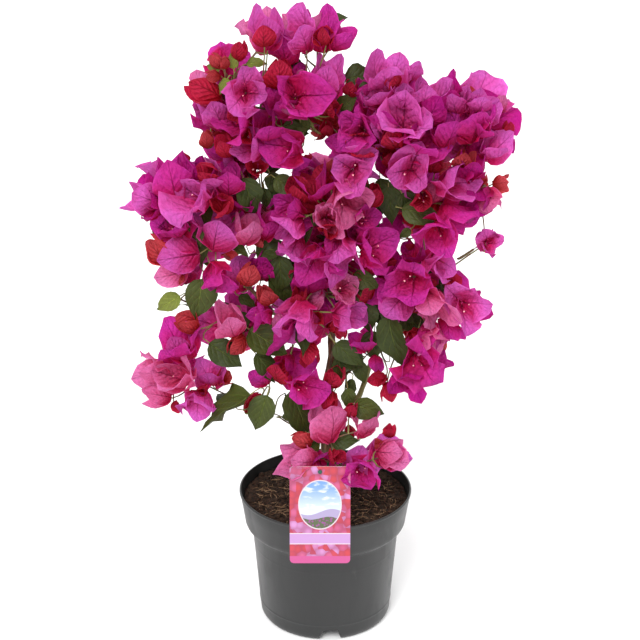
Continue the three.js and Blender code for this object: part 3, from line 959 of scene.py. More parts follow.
class Mass:
    """One mass of foliage: where it is, how large it is and how it is filled."""

    def __init__(self, name, number):
        low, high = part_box(name)
        self.name = name
        self.middle = np.array((low + high) / 2)
        self.half = np.array((high - low) / 2)
        self.leafy = name in LEAFY
        self.set_by_hand = name in SET_BY_HAND
        self.rng = np.random.default_rng(SEED + number)

    def reach(self, direction):
        """How far the mass's skin is from its middle in a direction."""
        return 1 / np.linalg.norm(direction / self.half)

    def depth(self, place):
        """0 at the middle, 1 on the skin, more outside."""
        return np.linalg.norm((place - self.middle) / self.half)

    def girth(self):
        """The mean area of its three sections, as half sizes multiplied."""
        x, y, z = self.half
        return (x * y + y * z + z * x) / 3


SEED = 700
LEAFY = ("left_leaf", "low_leaf", "stem_leaf", "right_leaf", "front_leaf", "leaf_low", "back_foot")
SET_BY_HAND = (
    "left_low", "left_mid", "left_leaf", "low_leaf", "low_centre", "stem_leaf", "right_leaf",
    "right_foot", "leaf_low", "front_upper_left", "front_upper_right", "front_leaf", "front_left",
    "front_right", "front_far_right", "far_right", "top_left", "top_right", "crest_left",
    "right_tip", "left_bud", "left_lobe_foot", "right_drop",
)
MADE = ("pot", "soil", "tag", "tag_tie")
MASSES = [
    Mass(name, number)
    for number, name in enumerate(sorted(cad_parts))
    if name not in LIMBS and name not in MADE
]

LEAF_CLEAR = 9 * MM
BRACT_LENGTH = (42 * MM, 3.5 * MM)
LEAF_LENGTH = (46 * MM, 8 * MM)


def trio_stage(openness, size, layer, tries, room, in_leaves):
    """A round of trios: how far open, how large, how deep in the mass and how much room each needs."""
    stage = {"kind": "trio", "open": openness, "size": size, "layer": layer}
    return stage | {"tries": tries, "room": room, "in_leaves": in_leaves}


def leaf_stage(layer, tries, in_leaves):
    """A round of leaves: how deep in the mass, how many tries, and how many more in leafy masses."""
    return {"kind": "leaf", "layer": layer, "tries": tries, "in_leaves": in_leaves}


# The rounds in their order. The tries are for each square millimetre of a mass's girth.
STAGES = (
    trio_stage((0.85, 0.7, 0.55), 1.0, 1.0, 0.0085, 0.30, 0),
    trio_stage((0.5, 0.62), 0.92, 1.0, 0.007, 0.27, 0.1),
    leaf_stage((0.75, 1.0), 0.009, 3.0),
    trio_stage((0.04, 0.1), 0.70, 1.0, 0.006, 0.22, 0.4),
    trio_stage((0.3, 0.4), 0.42, 1.0, 0.006, 0.25, 0.4),
    trio_stage((0.9, 0.7), 0.95, 0.55, 0.010, 0.28, 0),
    leaf_stage((0.35, 0.8), 0.012, 2.0),
)

# What shows at the front is listed one by one. Places are in millimetres on an upright plane before the
# stems: sideways from the pot's middle, height above its foot, and how much nearer than the plane.
# A nearer place looks lower.
FRONT_PLANE = 30 * MM
LOWER_WHEN_NEARER = 0.4

# Foot (sideways, height, nearer), heading, length of a bract in millimetres, openness and tone.
# Trios given the deep tone where they sit back in shadow carry painted shade.
FRONT_TRIOS = (
    # top
    ((-51, 579, 0), (0.0, -0.2, 1.0), 40, 0.32, "lilac"),
    ((-53, 580, 12), (0.0, -0.5, 0.9), 25, 0.12, "crimson"),
    ((-34, 566, -8), (-0.1, 0.0, 1.0), 32, 0.5, "magenta"),
    ((-44, 543, 6), (0.15, -0.2, 0.95), 33, 0.25, "crimson"),
    ((-17, 579, 0), (-0.35, -0.35, 0.9), 38, 0.5, "lilac"),
    ((-2, 577, -4), (-0.05, -0.1, 1.0), 42, 0.38, "magenta"),
    ((0, 582, 8), (-0.1, -0.5, 0.9), 24, 0.1, "crimson"),
    ((3, 580, 0), (0.65, -0.3, 0.7), 29, 0.35, "magenta"),
    ((-76, 569, 0), (0.1, -0.2, 1.0), 22, 0.15, "crimson"),
    ((-90, 563, 0), (-0.6, -0.2, 0.75), 20, 0.1, "scarlet"),
    ((-88, 562, 4), (-0.1, -0.3, 1.0), 14, 0.1, "scarlet"),
    ((-92, 556, 2), (-1.0, -0.3, 0.0), 15, 0.2, "scarlet"),
    # upper left
    ((-92, 536, 0), (-0.9, -0.15, 0.45), 36, 0.15, "crimson"),
    ((-70, 540, 8), (0.1, -0.9, 0.3), 36, 0.8, "lilac"),
    ((-70, 528, 6), (-0.6, -0.5, -0.4), 20, 0.3, "crimson"),
    ((-27, 535, 8), (0.2, -0.85, 0.3), 42, 0.85, "magenta"),
    ((-91, 508, -4), (-0.35, -0.2, 0.85), 34, 0.6, "lilac"),
    ((-67, 510, 4), (-0.65, -0.5, 0.55), 36, 0.7, "magenta"),
    ((-53, 497, 6), (0.0, -0.4, 0.9), 34, 0.5, "magenta"),
    ((-106, 491, 0), (0.0, -0.2, 1.0), 21, 0.1, "scarlet"),
    ((-86, 482, 8), (-0.3, -0.4, 0.85), 28, 0.3, "crimson"),
    ((-68, 500, 12), (-0.2, -0.9, 0.3), 15, 0.4, "crimson"),
    ((-58, 487, 8), (-0.6, -0.6, 0.5), 28, 0.65, "lilac"),
    ((-22, 489, 8), (-0.75, -0.6, 0.3), 38, 0.75, "magenta"),
    ((-28, 550, -8), (0.2, 0.0, 0.9), 22, 0.3, "deep"),
    ((-2, 541, 4), (0.15, -0.4, 0.95), 37, 0.6, "lilac"),
    ((4, 520, 4), (0.2, -0.5, 0.8), 20, 0.3, "crimson"),
    ((0, 503, 4), (0.1, -0.5, 0.9), 16, 0.2, "crimson"),
    # upper right
    ((22, 537, 0), (0.0, -0.2, 1.0), 18, 0.2, "crimson"),
    ((33, 535, 2), (0.05, -0.3, 1.0), 22, 0.35, "magenta"),
    ((55, 540, -6), (-0.1, -0.2, 1.0), 40, 0.6, "lilac"),
    ((57, 545, 4), (0.0, -0.5, 0.8), 22, 0.3, "crimson"),
    ((73, 552, -14), (0.2, 0.0, 1.0), 22, 0.5, "lilac"),
    ((84, 525, -2), (0.25, -0.35, 0.9), 36, 0.6, "lilac"),
    ((69, 524, 8), (0.0, -0.5, 0.85), 28, 0.6, "lilac"),
    ((67, 500, 16), (0.05, -0.65, 0.75), 43, 0.8, "lilac"),
    ((51, 530, 6), (-0.45, -0.5, 0.75), 28, 0.6, "lilac"),
    ((49, 500, 10), (-0.1, -0.3, 0.95), 36, 0.4, "magenta"),
    ((63, 490, 18), (-0.3, -0.5, 0.8), 28, 0.2, "crimson"),
    ((38, 514, 4), (-0.7, -0.4, 0.6), 32, 0.6, "magenta"),
    ((34, 506, 10), (-0.3, -0.9, 0.15), 32, 0.85, "magenta"),
    ((24, 508, 2), (-0.5, -0.4, 0.6), 15, 0.3, "crimson"),
    ((33, 486, 12), (-0.2, -0.7, 0.5), 28, 0.5, "crimson"),
    ((20, 492, 8), (-0.9, -0.4, 0.1), 20, 0.6, "magenta"),
    ((86, 508, 6), (0.4, -0.1, 0.9), 36, 0.55, "deep"),
    ((102, 487, 14), (0.15, 0.0, 1.0), 37, 0.55, "magenta"),
    ((76, 484, 14), (0.55, -0.5, 0.65), 36, 0.65, "magenta"),
    ((109, 520, -8), (-0.3, -0.2, 0.9), 38, 0.55, "deep"),
    ((117, 520, -2), (-0.1, -0.2, 1.0), 33, 0.5, "lilac"),
    ((130, 519, -2), (0.1, -0.2, 1.0), 31, 0.55, "lilac"),
    ((134, 512, -8), (0.3, -0.1, 0.9), 28, 0.5, "lilac"),
    ((128, 494, 10), (-0.1, 0.0, 1.0), 40, 0.5, "magenta"),
    ((134, 500, 2), (0.25, -0.35, 0.85), 35, 0.55, "magenta"),
    ((162, 503, -10), (0.1, 0.0, 1.0), 15, 0.15, "crimson"),
    ((141, 480, 0), (0.4, -0.35, 0.8), 34, 0.5, "lilac"),
    ((129, 462, 4), (0.05, -0.45, 0.9), 36, 0.5, "deep"),
    # right
    ((24, 471, 12), (-0.1, -0.9, 0.25), 38, 0.9, "lilac"),
    ((56, 474, 2), (0.1, -0.3, 0.9), 20, 0.3, "crimson"),
    ((75, 470, 14), (0.0, -0.9, 0.1), 37, 0.85, "lilac"),
    ((58, 466, -6), (0.0, -0.3, 0.6), 28, 0.5, "deep"),
    ((86, 449, 10), (0.0, -0.8, -0.2), 22, 0.6, "crimson"),
    ((97, 468, 4), (0.0, -0.4, 0.9), 22, 0.3, "crimson"),
    ((98, 456, 8), (0.8, -0.5, 0.2), 40, 0.7, "lilac"),
    ((104, 438, 6), (0.7, -0.5, -0.4), 34, 0.65, "magenta"),
    ((120, 470, 8), (0.2, -0.4, 0.85), 24, 0.3, "scarlet"),
    ((99, 421, 12), (0.1, -0.75, -0.2), 36, 0.8, "magenta"),
    ((39, 436, 8), (0.2, -0.35, 0.9), 30, 0.15, "crimson"),
    ((52, 398, -16), (0.1, 0.1, 0.9), 32, 0.6, "deep"),
    ((83, 385, 0), (-0.2, -0.5, 0.6), 26, 0.4, "deep"),
    ((56, 368, -2), (-0.1, -0.3, 0.9), 30, 0.55, "deep"),
    ((46, 372, 4), (-0.5, -0.3, 0.6), 20, 0.4, "crimson"),
    ((66, 352, -4), (-0.6, -0.3, 0.3), 32, 0.6, "magenta"),
    ((112, 330, 4), (0.2, -0.4, -0.8), 28, 0.5, "magenta"),
    ((80, 397, -4), (-0.6, -0.2, 0.5), 12, 0.4, "crimson"),
    ((92, 390, 6), (0.5, -0.7, -0.1), 36, 0.7, "lilac"),
    ((80, 369, 12), (-0.3, -0.85, 0.1), 38, 0.85, "magenta"),
    ((60, 378, 4), (-0.4, -0.5, 0.6), 18, 0.4, "crimson"),
    ((75, 356, 6), (-0.55, -0.4, -0.7), 36, 0.7, "lilac"),
    ((92, 354, 12), (0.35, -0.75, -0.45), 38, 0.75, "rose"),
    ((112, 358, 0), (0.3, -0.4, 0.5), 18, 0.4, "crimson"),
    ((125, 344, 6), (0.1, -0.85, 0.1), 36, 0.85, "lilac"),
    ((92, 322, 8), (0.4, -0.5, -0.6), 30, 0.6, "rose"),
    ((86, 318, 4), (-0.4, -0.5, -0.5), 20, 0.4, "crimson"),
    ((96, 326, 12), (0.0, -0.4, -0.9), 26, 0.3, "magenta"),
    ((147, 453, 2), (-0.55, -0.5, -0.4), 28, 0.5, "deep"),
    ((144, 455, 0), (0.2, -0.4, -0.8), 24, 0.4, "rose"),
    ((150, 458, -6), (0.5, -0.2, 0.1), 18, 0.5, "scarlet"),
    ((126, 436, 0), (0.3, -0.3, -0.8), 16, 0.4, "lilac"),
    ((146, 401, 0), (0.2, -0.8, 0.4), 23, 1.0, "lilac"),
    # left
    ((-147, 438, 0), (-0.85, -0.35, 0.4), 37, 0.38, "lilac"),
    ((-148, 430, 8), (-0.6, -0.6, 0.5), 26, 0.4, "deep"),
    ((-134, 438, 6), (-0.15, 0.05, 1.0), 48, 0.5, "magenta"),
    ((-120, 452, -8), (0.0, -0.1, 1.0), 36, 0.5, "deep"),
    ((-105, 437, 12), (-0.5, -0.6, 0.5), 40, 0.8, "lilac"),
    ((-94, 427, 18), (0.1, -0.5, 0.85), 26, 0.35, "crimson"),
    ((-90, 450, 4), (-0.7, -0.3, 0.6), 36, 0.6, "lilac"),
    ((-93, 458, 8), (-0.7, -0.3, 0.6), 28, 0.2, "crimson"),
    ((-88, 446, 8), (-0.05, -0.35, 1.0), 36, 0.35, "magenta"),
    ((-114, 391, 12), (-0.8, 0.0, -0.2), 36, 0.6, "lilac"),
    ((-130, 408, 4), (-0.5, -0.4, 0.75), 36, 0.7, "magenta"),
    ((-102, 393, 14), (0.25, 0.1, 0.95), 44, 0.6, "lilac"),
    ((-100, 384, 12), (0.0, -0.6, -0.8), 28, 0.65, "magenta"),
    ((-143, 384, 4), (-0.55, -0.3, 0.8), 36, 0.15, "scarlet"),
    ((-126, 378, 4), (-1.0, -0.2, 0.0), 31, 0.4, "rose"),
    ((-132, 374, 8), (-0.2, -0.3, -0.9), 16, 0.15, "scarlet"),
    ((-100, 367, 8), (0.6, -0.3, -0.75), 17, 0.12, "scarlet"),
    ((-75, 361, 8), (0.35, -0.35, 0.9), 31, 0.1, "scarlet"),
    ((-62, 370, -4), (0.3, -0.1, 0.6), 26, 0.5, "deep"),
    ((-77, 401, 8), (0.3, -0.35, 0.9), 32, 0.3, "rose"),
    ((-56, 405, 2), (0.2, -0.3, 0.95), 34, 0.5, "magenta"),
    ((-78, 436, -6), (0.1, -0.3, 0.3), 26, 0.6, "deep"),
    ((-64, 400, 2), (0.3, -0.4, 0.8), 14, 0.25, "scarlet"),
    ((-61, 470, 2), (0.0, -0.6, 0.4), 20, 0.6, "crimson"),
    ((-82, 452, 0), (0.1, -0.3, 0.2), 16, 0.3, "crimson"),
    # middle
    ((10, 450, 14), (0.3, -0.85, -0.15), 36, 0.8, "rose"),
    ((12, 433, 14), (0.2, -0.8, -0.1), 14, 0.6, "crimson"),
    ((26, 424, 12), (0.6, -0.6, 0.1), 26, 0.75, "magenta"),
    ((34, 402, 4), (-0.2, -0.5, 0.6), 26, 0.6, "magenta"),
    ((16, 407, 14), (0.0, -0.6, -0.7), 40, 0.6, "lilac"),
    ((8, 408, 8), (-0.3, -0.7, -0.5), 32, 0.6, "magenta"),
    ((32, 392, 12), (0.6, -0.6, 0.35), 36, 0.75, "magenta"),
    ((-20, 441, 10), (-0.3, -0.45, 0.9), 30, 0.3, "crimson"),
    ((-8, 442, 12), (-0.1, -0.35, 0.95), 40, 0.5, "magenta"),
    ((-20, 428, 12), (-0.7, -0.55, 0.4), 34, 0.6, "magenta"),
    ((-21, 424, 14), (-0.6, -0.65, -0.35), 32, 0.75, "lilac"),
    ((-23, 408, 8), (-0.4, -0.45, -0.8), 32, 0.65, "lilac"),
    ((-25, 380, 0), (-0.3, -0.3, -0.4), 16, 0.2, "crimson"),
    ((-4, 396, 14), (-0.3, -0.8, -0.5), 34, 0.8, "magenta"),
    ((0, 425, 16), (0.1, -0.8, 0.2), 30, 0.6, "rose"),
    ((-50, 343, 6), (-0.35, -0.4, 0.8), 25, 0.15, "scarlet"),
    ((-23, 344, 8), (-0.1, -0.5, 0.8), 20, 0.3, "crimson"),
    ((-18, 346, 14), (-0.3, -0.6, -0.65), 44, 0.8, "lilac"),
    ((-50, 332, 4), (-0.6, -0.4, 0.1), 28, 0.6, "magenta"),
    ((6, 334, 12), (0.85, -0.5, 0.1), 36, 0.7, "lilac"),
    ((14, 324, 12), (0.1, -0.4, -0.9), 18, 0.15, "crimson"),
    ((-8, 328, 14), (0.0, -0.6, 0.2), 16, 0.4, "crimson"),
    ((12, 355, 8), (0.3, -0.7, 0.4), 28, 0.6, "rose"),
    ((28, 366, 4), (0.0, -0.4, 0.3), 14, 0.3, "scarlet"),
    ((38, 346, 0), (-0.3, -0.4, 0.7), 24, 0.3, "crimson"),
    ((-14, 350, -4), (-0.1, -0.2, 0.8), 36, 0.6, "deep"),
    ((-60, 366, -4), (0.1, -0.3, 0.8), 26, 0.5, "deep"),
    # low left
    ((-117, 318, 4), (-0.9, -0.25, 0.4), 28, 0.15, "scarlet"),
    ((-129, 286, 6), (-0.25, -0.4, 0.9), 40, 0.6, "magenta"),
    ((-134, 286, 0), (-0.25, -0.2, 0.9), 34, 0.4, "lilac"),
    ((-76, 312, 6), (-0.55, -0.25, -0.7), 26, 0.12, "scarlet"),
    ((-85, 311, 8), (-0.15, -0.45, 0.9), 44, 0.3, "rose"),
    ((-146, 277, 4), (-0.95, -0.35, 0.1), 36, 0.6, "rose"),
    ((-128, 263, 8), (-0.55, -0.6, 0.5), 40, 0.55, "rose"),
    ((-145, 247, 6), (-0.95, -0.3, 0.15), 31, 0.3, "rose"),
    ((-143, 243, 10), (0.3, -0.6, -0.2), 13, 0.2, "crimson"),
    ((-106, 260, 2), (-0.1, -0.4, 0.9), 30, 0.5, "lilac"),
    ((-119, 256, 8), (0.0, -0.8, -0.4), 33, 0.85, "lilac"),
    ((-114, 257, 14), (0.0, -0.8, 0.2), 14, 0.2, "crimson"),
    ((-97, 262, 0), (0.2, -0.4, 0.6), 18, 0.5, "scarlet"),
    ((-53, 262, 2), (-0.6, -0.25, 0.75), 24, 0.5, "magenta"),
    ((-42, 263, 8), (0.05, -0.3, 0.95), 26, 0.25, "crimson"),
    ((-29, 263, 10), (0.5, -0.75, 0.1), 34, 0.75, "magenta"),
    ((-15, 305, 4), (0.1, -0.4, -0.8), 24, 0.4, "crimson"),
    ((-33, 292, 2), (-0.2, -0.4, -0.5), 22, 0.5, "deep"),
    # low right
    ((40, 296, 2), (-0.4, -0.4, 0.8), 28, 0.5, "magenta"),
    ((46, 292, 2), (0.1, -0.3, -0.8), 18, 0.3, "magenta"),
    ((57, 270, 4), (-0.5, -0.5, 0.0), 18, 0.4, "crimson"),
    ((58, 264, 6), (0.0, -0.5, -0.7), 20, 0.35, "crimson"),
    ((78, 279, 6), (-0.15, -0.75, -0.4), 32, 0.7, "deep"),
    ((74, 295, -6), (-0.2, -0.3, 0.2), 18, 0.4, "crimson"),
    ((83, 293, 12), (0.05, -0.8, -0.2), 36, 0.85, "magenta"),
    ((6, 258, 6), (0.25, -0.3, 0.9), 28, 0.25, "crimson"),
    ((8, 254, 8), (-0.3, -0.5, -0.6), 22, 0.4, "crimson"),
    # over the pot
    ((4, 201, 20), (0.0, 0.15, 1.0), 40, 0.42, "rose"),
    ((34, 206, 16), (0.2, 0.1, 0.95), 35, 0.5, "rose"),
    ((22, 228, 12), (0.2, -0.3, 0.8), 20, 0.2, "crimson"),
    ((60, 207, 8), (0.2, -0.3, 0.8), 16, 0.25, "crimson"),
    ((54, 196, 10), (-0.3, -0.4, 0.5), 14, 0.15, "scarlet"),
    ((48, 192, 12), (0.75, -0.3, 0.1), 31, 0.5, "rose"),
    ((35, 179, 20), (-0.05, -0.9, 0.0), 34, 0.9, "magenta"),
    ((4, 190, 20), (0.4, -0.6, 0.1), 18, 0.5, "crimson"),
    ((-12, 204, 20), (-0.9, -0.4, 0.3), 26, 0.1, "scarlet"),
    ((-10, 183, 20), (-0.85, -0.5, 0.25), 40, 0.6, "rose"),
    ((-6, 184, 4), (0.2, -0.6, 0.1), 26, 0.6, "magenta"),
)

# Foot (sideways, height, nearer), heading, length of the leaf in millimetres and tone.
FRONT_LEAVES = (
    ((-17, 567, -6), (-1.0, 0.0, 0.1), 20, "dark"),
    ((-43, 512, 0), (0.9, -0.1, -0.3), 27, "dark"),
    ((-12, 507, 0), (-0.8, 0.0, 0.5), 18, "olive"),
    ((-72, 566, 0), (1.0, -0.1, 0.2), 19, "young"),
    ((-80, 560, 2), (-0.2, -0.2, 1.0), 15, "young"),
    ((-84, 556, 4), (-0.5, -0.2, -0.8), 16, "young"),
    ((-90, 562, 2), (-0.9, -0.2, 0.2), 13, "young"),
    ((12, 553, -4), (1.0, -0.1, 0.25), 30, "dark"),
    ((8, 521, 0), (0.65, -0.2, 0.7), 27, "olive"),
    ((10, 505, 0), (0.2, -0.2, -0.9), 16, "dark"),
    ((-76, 469, 4), (0.35, -0.25, -0.9), 38, "dark"),
    ((-49, 466, 4), (0.75, -0.3, -0.45), 28, "olive"),
    ((-56, 458, -4), (0.1, -0.1, -0.9), 20, "dark"),
    ((-43, 397, 0), (0.05, -0.15, -1.0), 38, "dark"),
    ((-48, 384, -6), (0.3, -0.2, -0.9), 38, "dark"),
    ((-55, 392, -2), (-0.1, -0.1, -1.0), 24, "olive"),
    ((-36, 392, -6), (0.1, 0.0, -1.0), 28, "olive"),
    ((-112, 374, 4), (-0.15, -0.25, -0.95), 43, "olive"),
    ((-130, 353, 2), (-0.85, -0.1, -0.5), 30, "young"),
    ((-83, 352, -4), (0.9, -0.2, -0.4), 20, "dark"),
    ((-80, 340, -8), (0.2, -0.2, -0.9), 22, "dark"),
    ((-88, 400, 4), (0.9, -0.3, -0.3), 18, "olive"),
    ((-114, 308, 2), (0.8, -0.2, -0.55), 38, "dark"),
    ((-78, 322, -2), (0.8, -0.2, -0.5), 46, "olive"),
    ((-69, 297, 4), (0.65, -0.25, -0.7), 36, "dark"),
    ((-61, 258, 14), (-0.85, -0.2, -0.5), 60, "olive"),
    ((-53, 258, 6), (-0.3, -0.25, -0.9), 40, "olive"),
    ((-37, 266, 8), (0.42, -0.25, -0.87), 54, "dark"),
    ((-20, 215, 10), (0.4, -0.2, -0.7), 26, "young"),
    ((39, 439, 0), (0.1, -0.2, -0.95), 28, "olive"),
    ((63, 436, 4), (1.0, -0.3, -0.15), 38, "olive"),
    ((79, 417, 2), (-0.8, -0.2, -0.6), 14, "olive"),
    ((128, 446, 0), (-0.4, -0.2, -0.9), 16, "olive"),
    ((56, 462, -6), (0.1, -0.2, -0.95), 36, "dark"),
    ((66, 454, -4), (0.5, -0.2, -0.8), 26, "dark"),
    ((48, 472, -8), (0.1, -0.2, -0.95), 36, "dark"),
    ((50, 350, -6), (0.2, -0.2, -0.9), 30, "dark"),
    ((-52, 472, -4), (0.4, -0.2, -0.8), 26, "dark"),
    ((-34, 462, -6), (-0.7, -0.2, -0.5), 24, "dark"),
    ((-70, 392, -4), (0.95, -0.2, 0.25), 36, "dark"),
    ((44, 344, -4), (0.9, -0.2, -0.3), 36, "dark"),
    ((66, 340, 0), (0.5, -0.2, -0.8), 26, "olive"),
    ((10, 298, 0), (0.2, -0.2, -0.95), 30, "dark"),
    ((20, 262, 4), (0.1, -0.2, -1.0), 22, "olive"),
    ((22, 374, 6), (0.8, -0.3, -0.4), 28, "olive"),
    ((38, 358, 6), (-0.9, -0.3, -0.5), 26, "olive"),
    ((57, 341, 10), (0.1, -0.3, -0.95), 56, "dark"),
    ((46, 322, 0), (-0.1, -0.2, -0.9), 34, "dark"),
    ((34, 352, -2), (0.2, -0.2, -0.95), 32, "dark"),
    ((72, 335, -4), (0.6, -0.2, -0.6), 28, "dark"),
    ((4, 309, 2), (0.7, -0.25, -0.6), 36, "dark"),
    ((18, 300, -4), (0.5, -0.2, -0.8), 28, "dark"),
    ((28, 290, -4), (0.3, -0.2, -0.9), 24, "dark"),
    ((26, 270, -4), (-0.2, -0.2, -0.9), 20, "dark"),
    ((22, 243, 4), (0.95, -0.25, -0.3), 32, "olive"),
    ((0, 206, 14), (1.0, -0.3, 0.0), 28, "dark"),
    ((-2, 203, 14), (-0.9, -0.3, 0.1), 22, "dark"),
)

# Gaps that stay open to the sky: sideways, height and radius.
GAPS = (
    (-30, 504, 9), (-20, 512, 5), (-27, 577, 8), (-45, 578, 4), (15, 546, 6), (-54, 472, 5), (-35, 474, 4),
    (-58, 450, 4), (-44, 441, 6), (-71, 393, 6), (-57, 403, 5), (-47, 403, 5), (-33, 380, 6), (-27, 370, 7),
    (-18, 368, 4), (-109, 386, 4), (-105, 338, 8), (70, 400, 13), (66, 388, 8), (83, 410, 6),
    (130, 452, 5), (23, 343, 5), (45, 334, 3), (12, 292, 7), (29, 266, 9), (41, 275, 6), (52, 277, 6),
    (42, 257, 8), (59, 250, 10), (69, 245, 11), (72, 318, 4), (30, 202, 7), (66, 220, 10), (68, 236, 10),
    (-88, 277, 12), (-85, 263, 9), (-136, 251, 7), (-112, 298, 6), (-64, 258, 5), (-52, 235, 7),
    (-30, 293, 6), (-52, 215, 12), (-80, 220, 10), (-20, 240, 8), (55, 262, 8), (-123, 522, 8),
    (-121, 500, 6), (-154, 486, 10), (36, 567, 8), (90, 567, 8), (105, 567, 8), (121, 565, 8),
    (139, 563, 8), (156, 557, 8), (156, 437, 8), (125, 372, 7),
    (133, 414, 8), (131, 398, 8), (-143, 358, 6), (-160, 345, 8), (-174, 418, 8), (-166, 400, 8),
)


class Crown:
    """Everything that grows: boughs inside the masses, twigs, trios of bracts, flowers and leaves."""

    def __init__(self):
        self.wood = []
        self.twigs = []
        self.stalks = []
        self.bracts = {tone: Blades() for tone in BRACT_TONES}
        self.leaves = {tone: Blades() for tone in LEAF_TONES}
        self.tubes = []
        self.stars = []
        self.filled = []
        self.shown = []

    def taken(self, place, room):
        """Whether a trio or leaf that needs some room would crowd what has grown already."""
        return any(np.linalg.norm(place - other) < room + taken for other, taken in self.filled)


def as_seen(place):
    """Where a place shows on the plane before the stems: sideways and height."""
    nearer = -FRONT_PLANE - place[1]
    return np.array([place[0], place[2] - LOWER_WHEN_NEARER * nearer])


def set_place(sideways, height, nearer):
    """The place in metres of a foot given on the plane before the stems."""
    low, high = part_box("pot")
    foot = np.array([(low.x + high.x) / 2, (low.y + high.y) / 2, low.z])
    rise = height + LOWER_WHEN_NEARER * nearer
    return foot + np.array([sideways * MM, -FRONT_PLANE - nearer * MM, rise * MM])


def in_gap(place, margin):
    """Whether a part of the given size would close one of the gaps."""
    seen = as_seen(place)
    return any(np.linalg.norm(seen - (x * MM, z * MM)) < radius * MM + margin for x, z, radius in GAPS)


def covers(crown, place, margin):
    """Whether something grown here would stand before one of the trios and leaves that show."""
    seen = as_seen(place)
    return any(
        np.linalg.norm(seen - as_seen(other)) < margin and place[1] < other[1] + 6 * MM
        for other in crown.shown
    )


def even_directions(count, rng):
    """Directions spread evenly over a ball, then turned and shaken at random."""
    i = np.arange(count) + 0.5
    rise = 1 - 2 * i / count
    azimuth = i * GOLDEN_ANGLE + rng.uniform(0, FULL_TURN)
    level = np.sqrt(1 - rise**2)
    spread = np.stack([level * np.cos(azimuth), level * np.sin(azimuth), rise], axis=1)
    return unit(spread + rng.normal(0, 0.16, (count, 3)))


def hidden(place, own, limit):
    """Whether a place lies deep inside a neighbouring mass."""
    return any(other is not own and other.depth(place) < limit for other in MASSES)


def grow_boughs(crown, lines):
    """Carries every limb on into the masses: each mass is fed from the nearest limb's tip or fed mass."""
    sources = []
    for name, (points, radii) in lines.items():
        if name != "trunk":
            sources.append((points[-1], unit(points[-1] - points[-2]), radii[-1]))
    waiting = list(MASSES)
    while waiting:
        pairs = [
            (feeding_cost(source, mass), s, m)
            for s, source in enumerate(sources)
            for m, mass in enumerate(waiting)
        ]
        _, s, m = min(pairs)
        place, ahead, radius = sources[s]
        mass = waiting.pop(m)
        end_radius = max(0.9 * MM, radius * 0.8)
        path = bend(place, ahead, mass.middle, unit(mass.middle - place + 0.02 * UP), 12)
        crown.wood.append((path, np.linspace(radius, end_radius, 12)))
        mass.core = path
        mass.entry = next(point for point in path if mass.depth(point) < 1)
        if mass.set_by_hand:
            continue
        sources.append((mass.middle, unit(mass.middle - place), end_radius))


def feeding_cost(source, mass):
    """Near is good, and so is growing on upwards and outwards."""
    way = mass.middle - source[0]
    distance = np.linalg.norm(way)
    bare = max(0.0, min(other.depth(source[0] + 0.5 * way) for other in MASSES) - 1)
    return distance * (1.25 - 0.25 * (unit(way) @ source[1])) * (1 + 1.5 * bare) + 0.6 * max(0.0, -way[2])


def bract_tone(openness, place, rng):
    """The colour of a trio: young ones are red, high ones lilac, low ones rosy."""
    height = (place[2] - 0.2) / 0.4
    if openness < 0.35:
        return rng.choice(["crimson", "scarlet", "rose"], p=[0.46, 0.3, 0.24])
    if openness < 0.6:
        return rng.choice(["crimson", "rose", "magenta", "deep"], p=[0.28, 0.22, 0.32, 0.18])
    rosy = between(0.30, 0.06, height.clip(0, 1))
    return rng.choice(["rose", "lilac", "magenta", "deep"], p=[rosy, 0.52 - rosy, 0.34, 0.14])


def add_trio(crown, root, axis, length, openness, tone, rng, first=None):
    """Three bracts round three flowers. The first bract stands on the given side of the axis."""
    start = rng.uniform(0, FULL_TURN)
    right = unit(np.cross(axis, unit(rng.normal(size=3))))
    ahead = np.cross(axis, right)
    if first is not None:
        start = math.atan2(first @ ahead, first @ right) + rng.normal(0, 0.3)
    for k in range(3):
        turn = start + k * FULL_TURN / 3 + rng.normal(0, 0.08 + 0.16 * openness)
        out = math.cos(turn) * right + math.sin(turn) * ahead
        own = np.clip(openness + rng.normal(0, 0.03 + 0.19 * openness**1.5), 0.0, 1.25)
        lean = math.radians(between(58, 24, own) + rng.normal(0, 7 * own))
        last = math.radians(between(-66, 62, own) + rng.normal(0, 13 * own))
        size = length * rng.normal(1.03, 0.05 + 0.05 * own)
        heading = math.cos(lean) * axis + math.sin(lean) * out
        inside = math.sin(lean) * axis - math.cos(lean) * out
        roll = rng.normal(0, 0.30 * own)
        inside = math.cos(roll) * inside + math.sin(roll) * np.cross(heading, inside)
        crown.bracts[tone].add(
            root=root + out * 1.2 * MM,
            heading=heading,
            inside=inside,
            length=size,
            width=size * between(0.76, 0.92, own) * rng.normal(1, 0.07),
            curl=last - lean,
            late=between(1.0, 1.35, own),
            cup=between(1.05, 0.50, own) + rng.normal(0, 0.18),
            flatten=between(0.1, 1.7, own) * rng.uniform(0.6, 1.3),
            fold=between(-0.10, 0.28, own) + rng.normal(0, 0.14 * own),
            wave=between(0.05, 0.36, own) * rng.uniform(0.5, 1.5),
            crimp=between(0.03, 0.15, own) * rng.uniform(0.5, 1.5),
            waves=between(1.3, rng.uniform(1.4, 3.4), own),
            phase=rng.uniform(0, FULL_TURN),
            twist=rng.normal(0, 0.28),
            skew=rng.normal(0, 0.09),
            lobe=between(0.1, 0.42, own),
            rise=rng.uniform(0.42, 0.54),
            fall=rng.uniform(0.58, 0.80),
        )
    if openness > 0.5:
        add_flowers(crown, root, axis, right, ahead, length, start, rng)


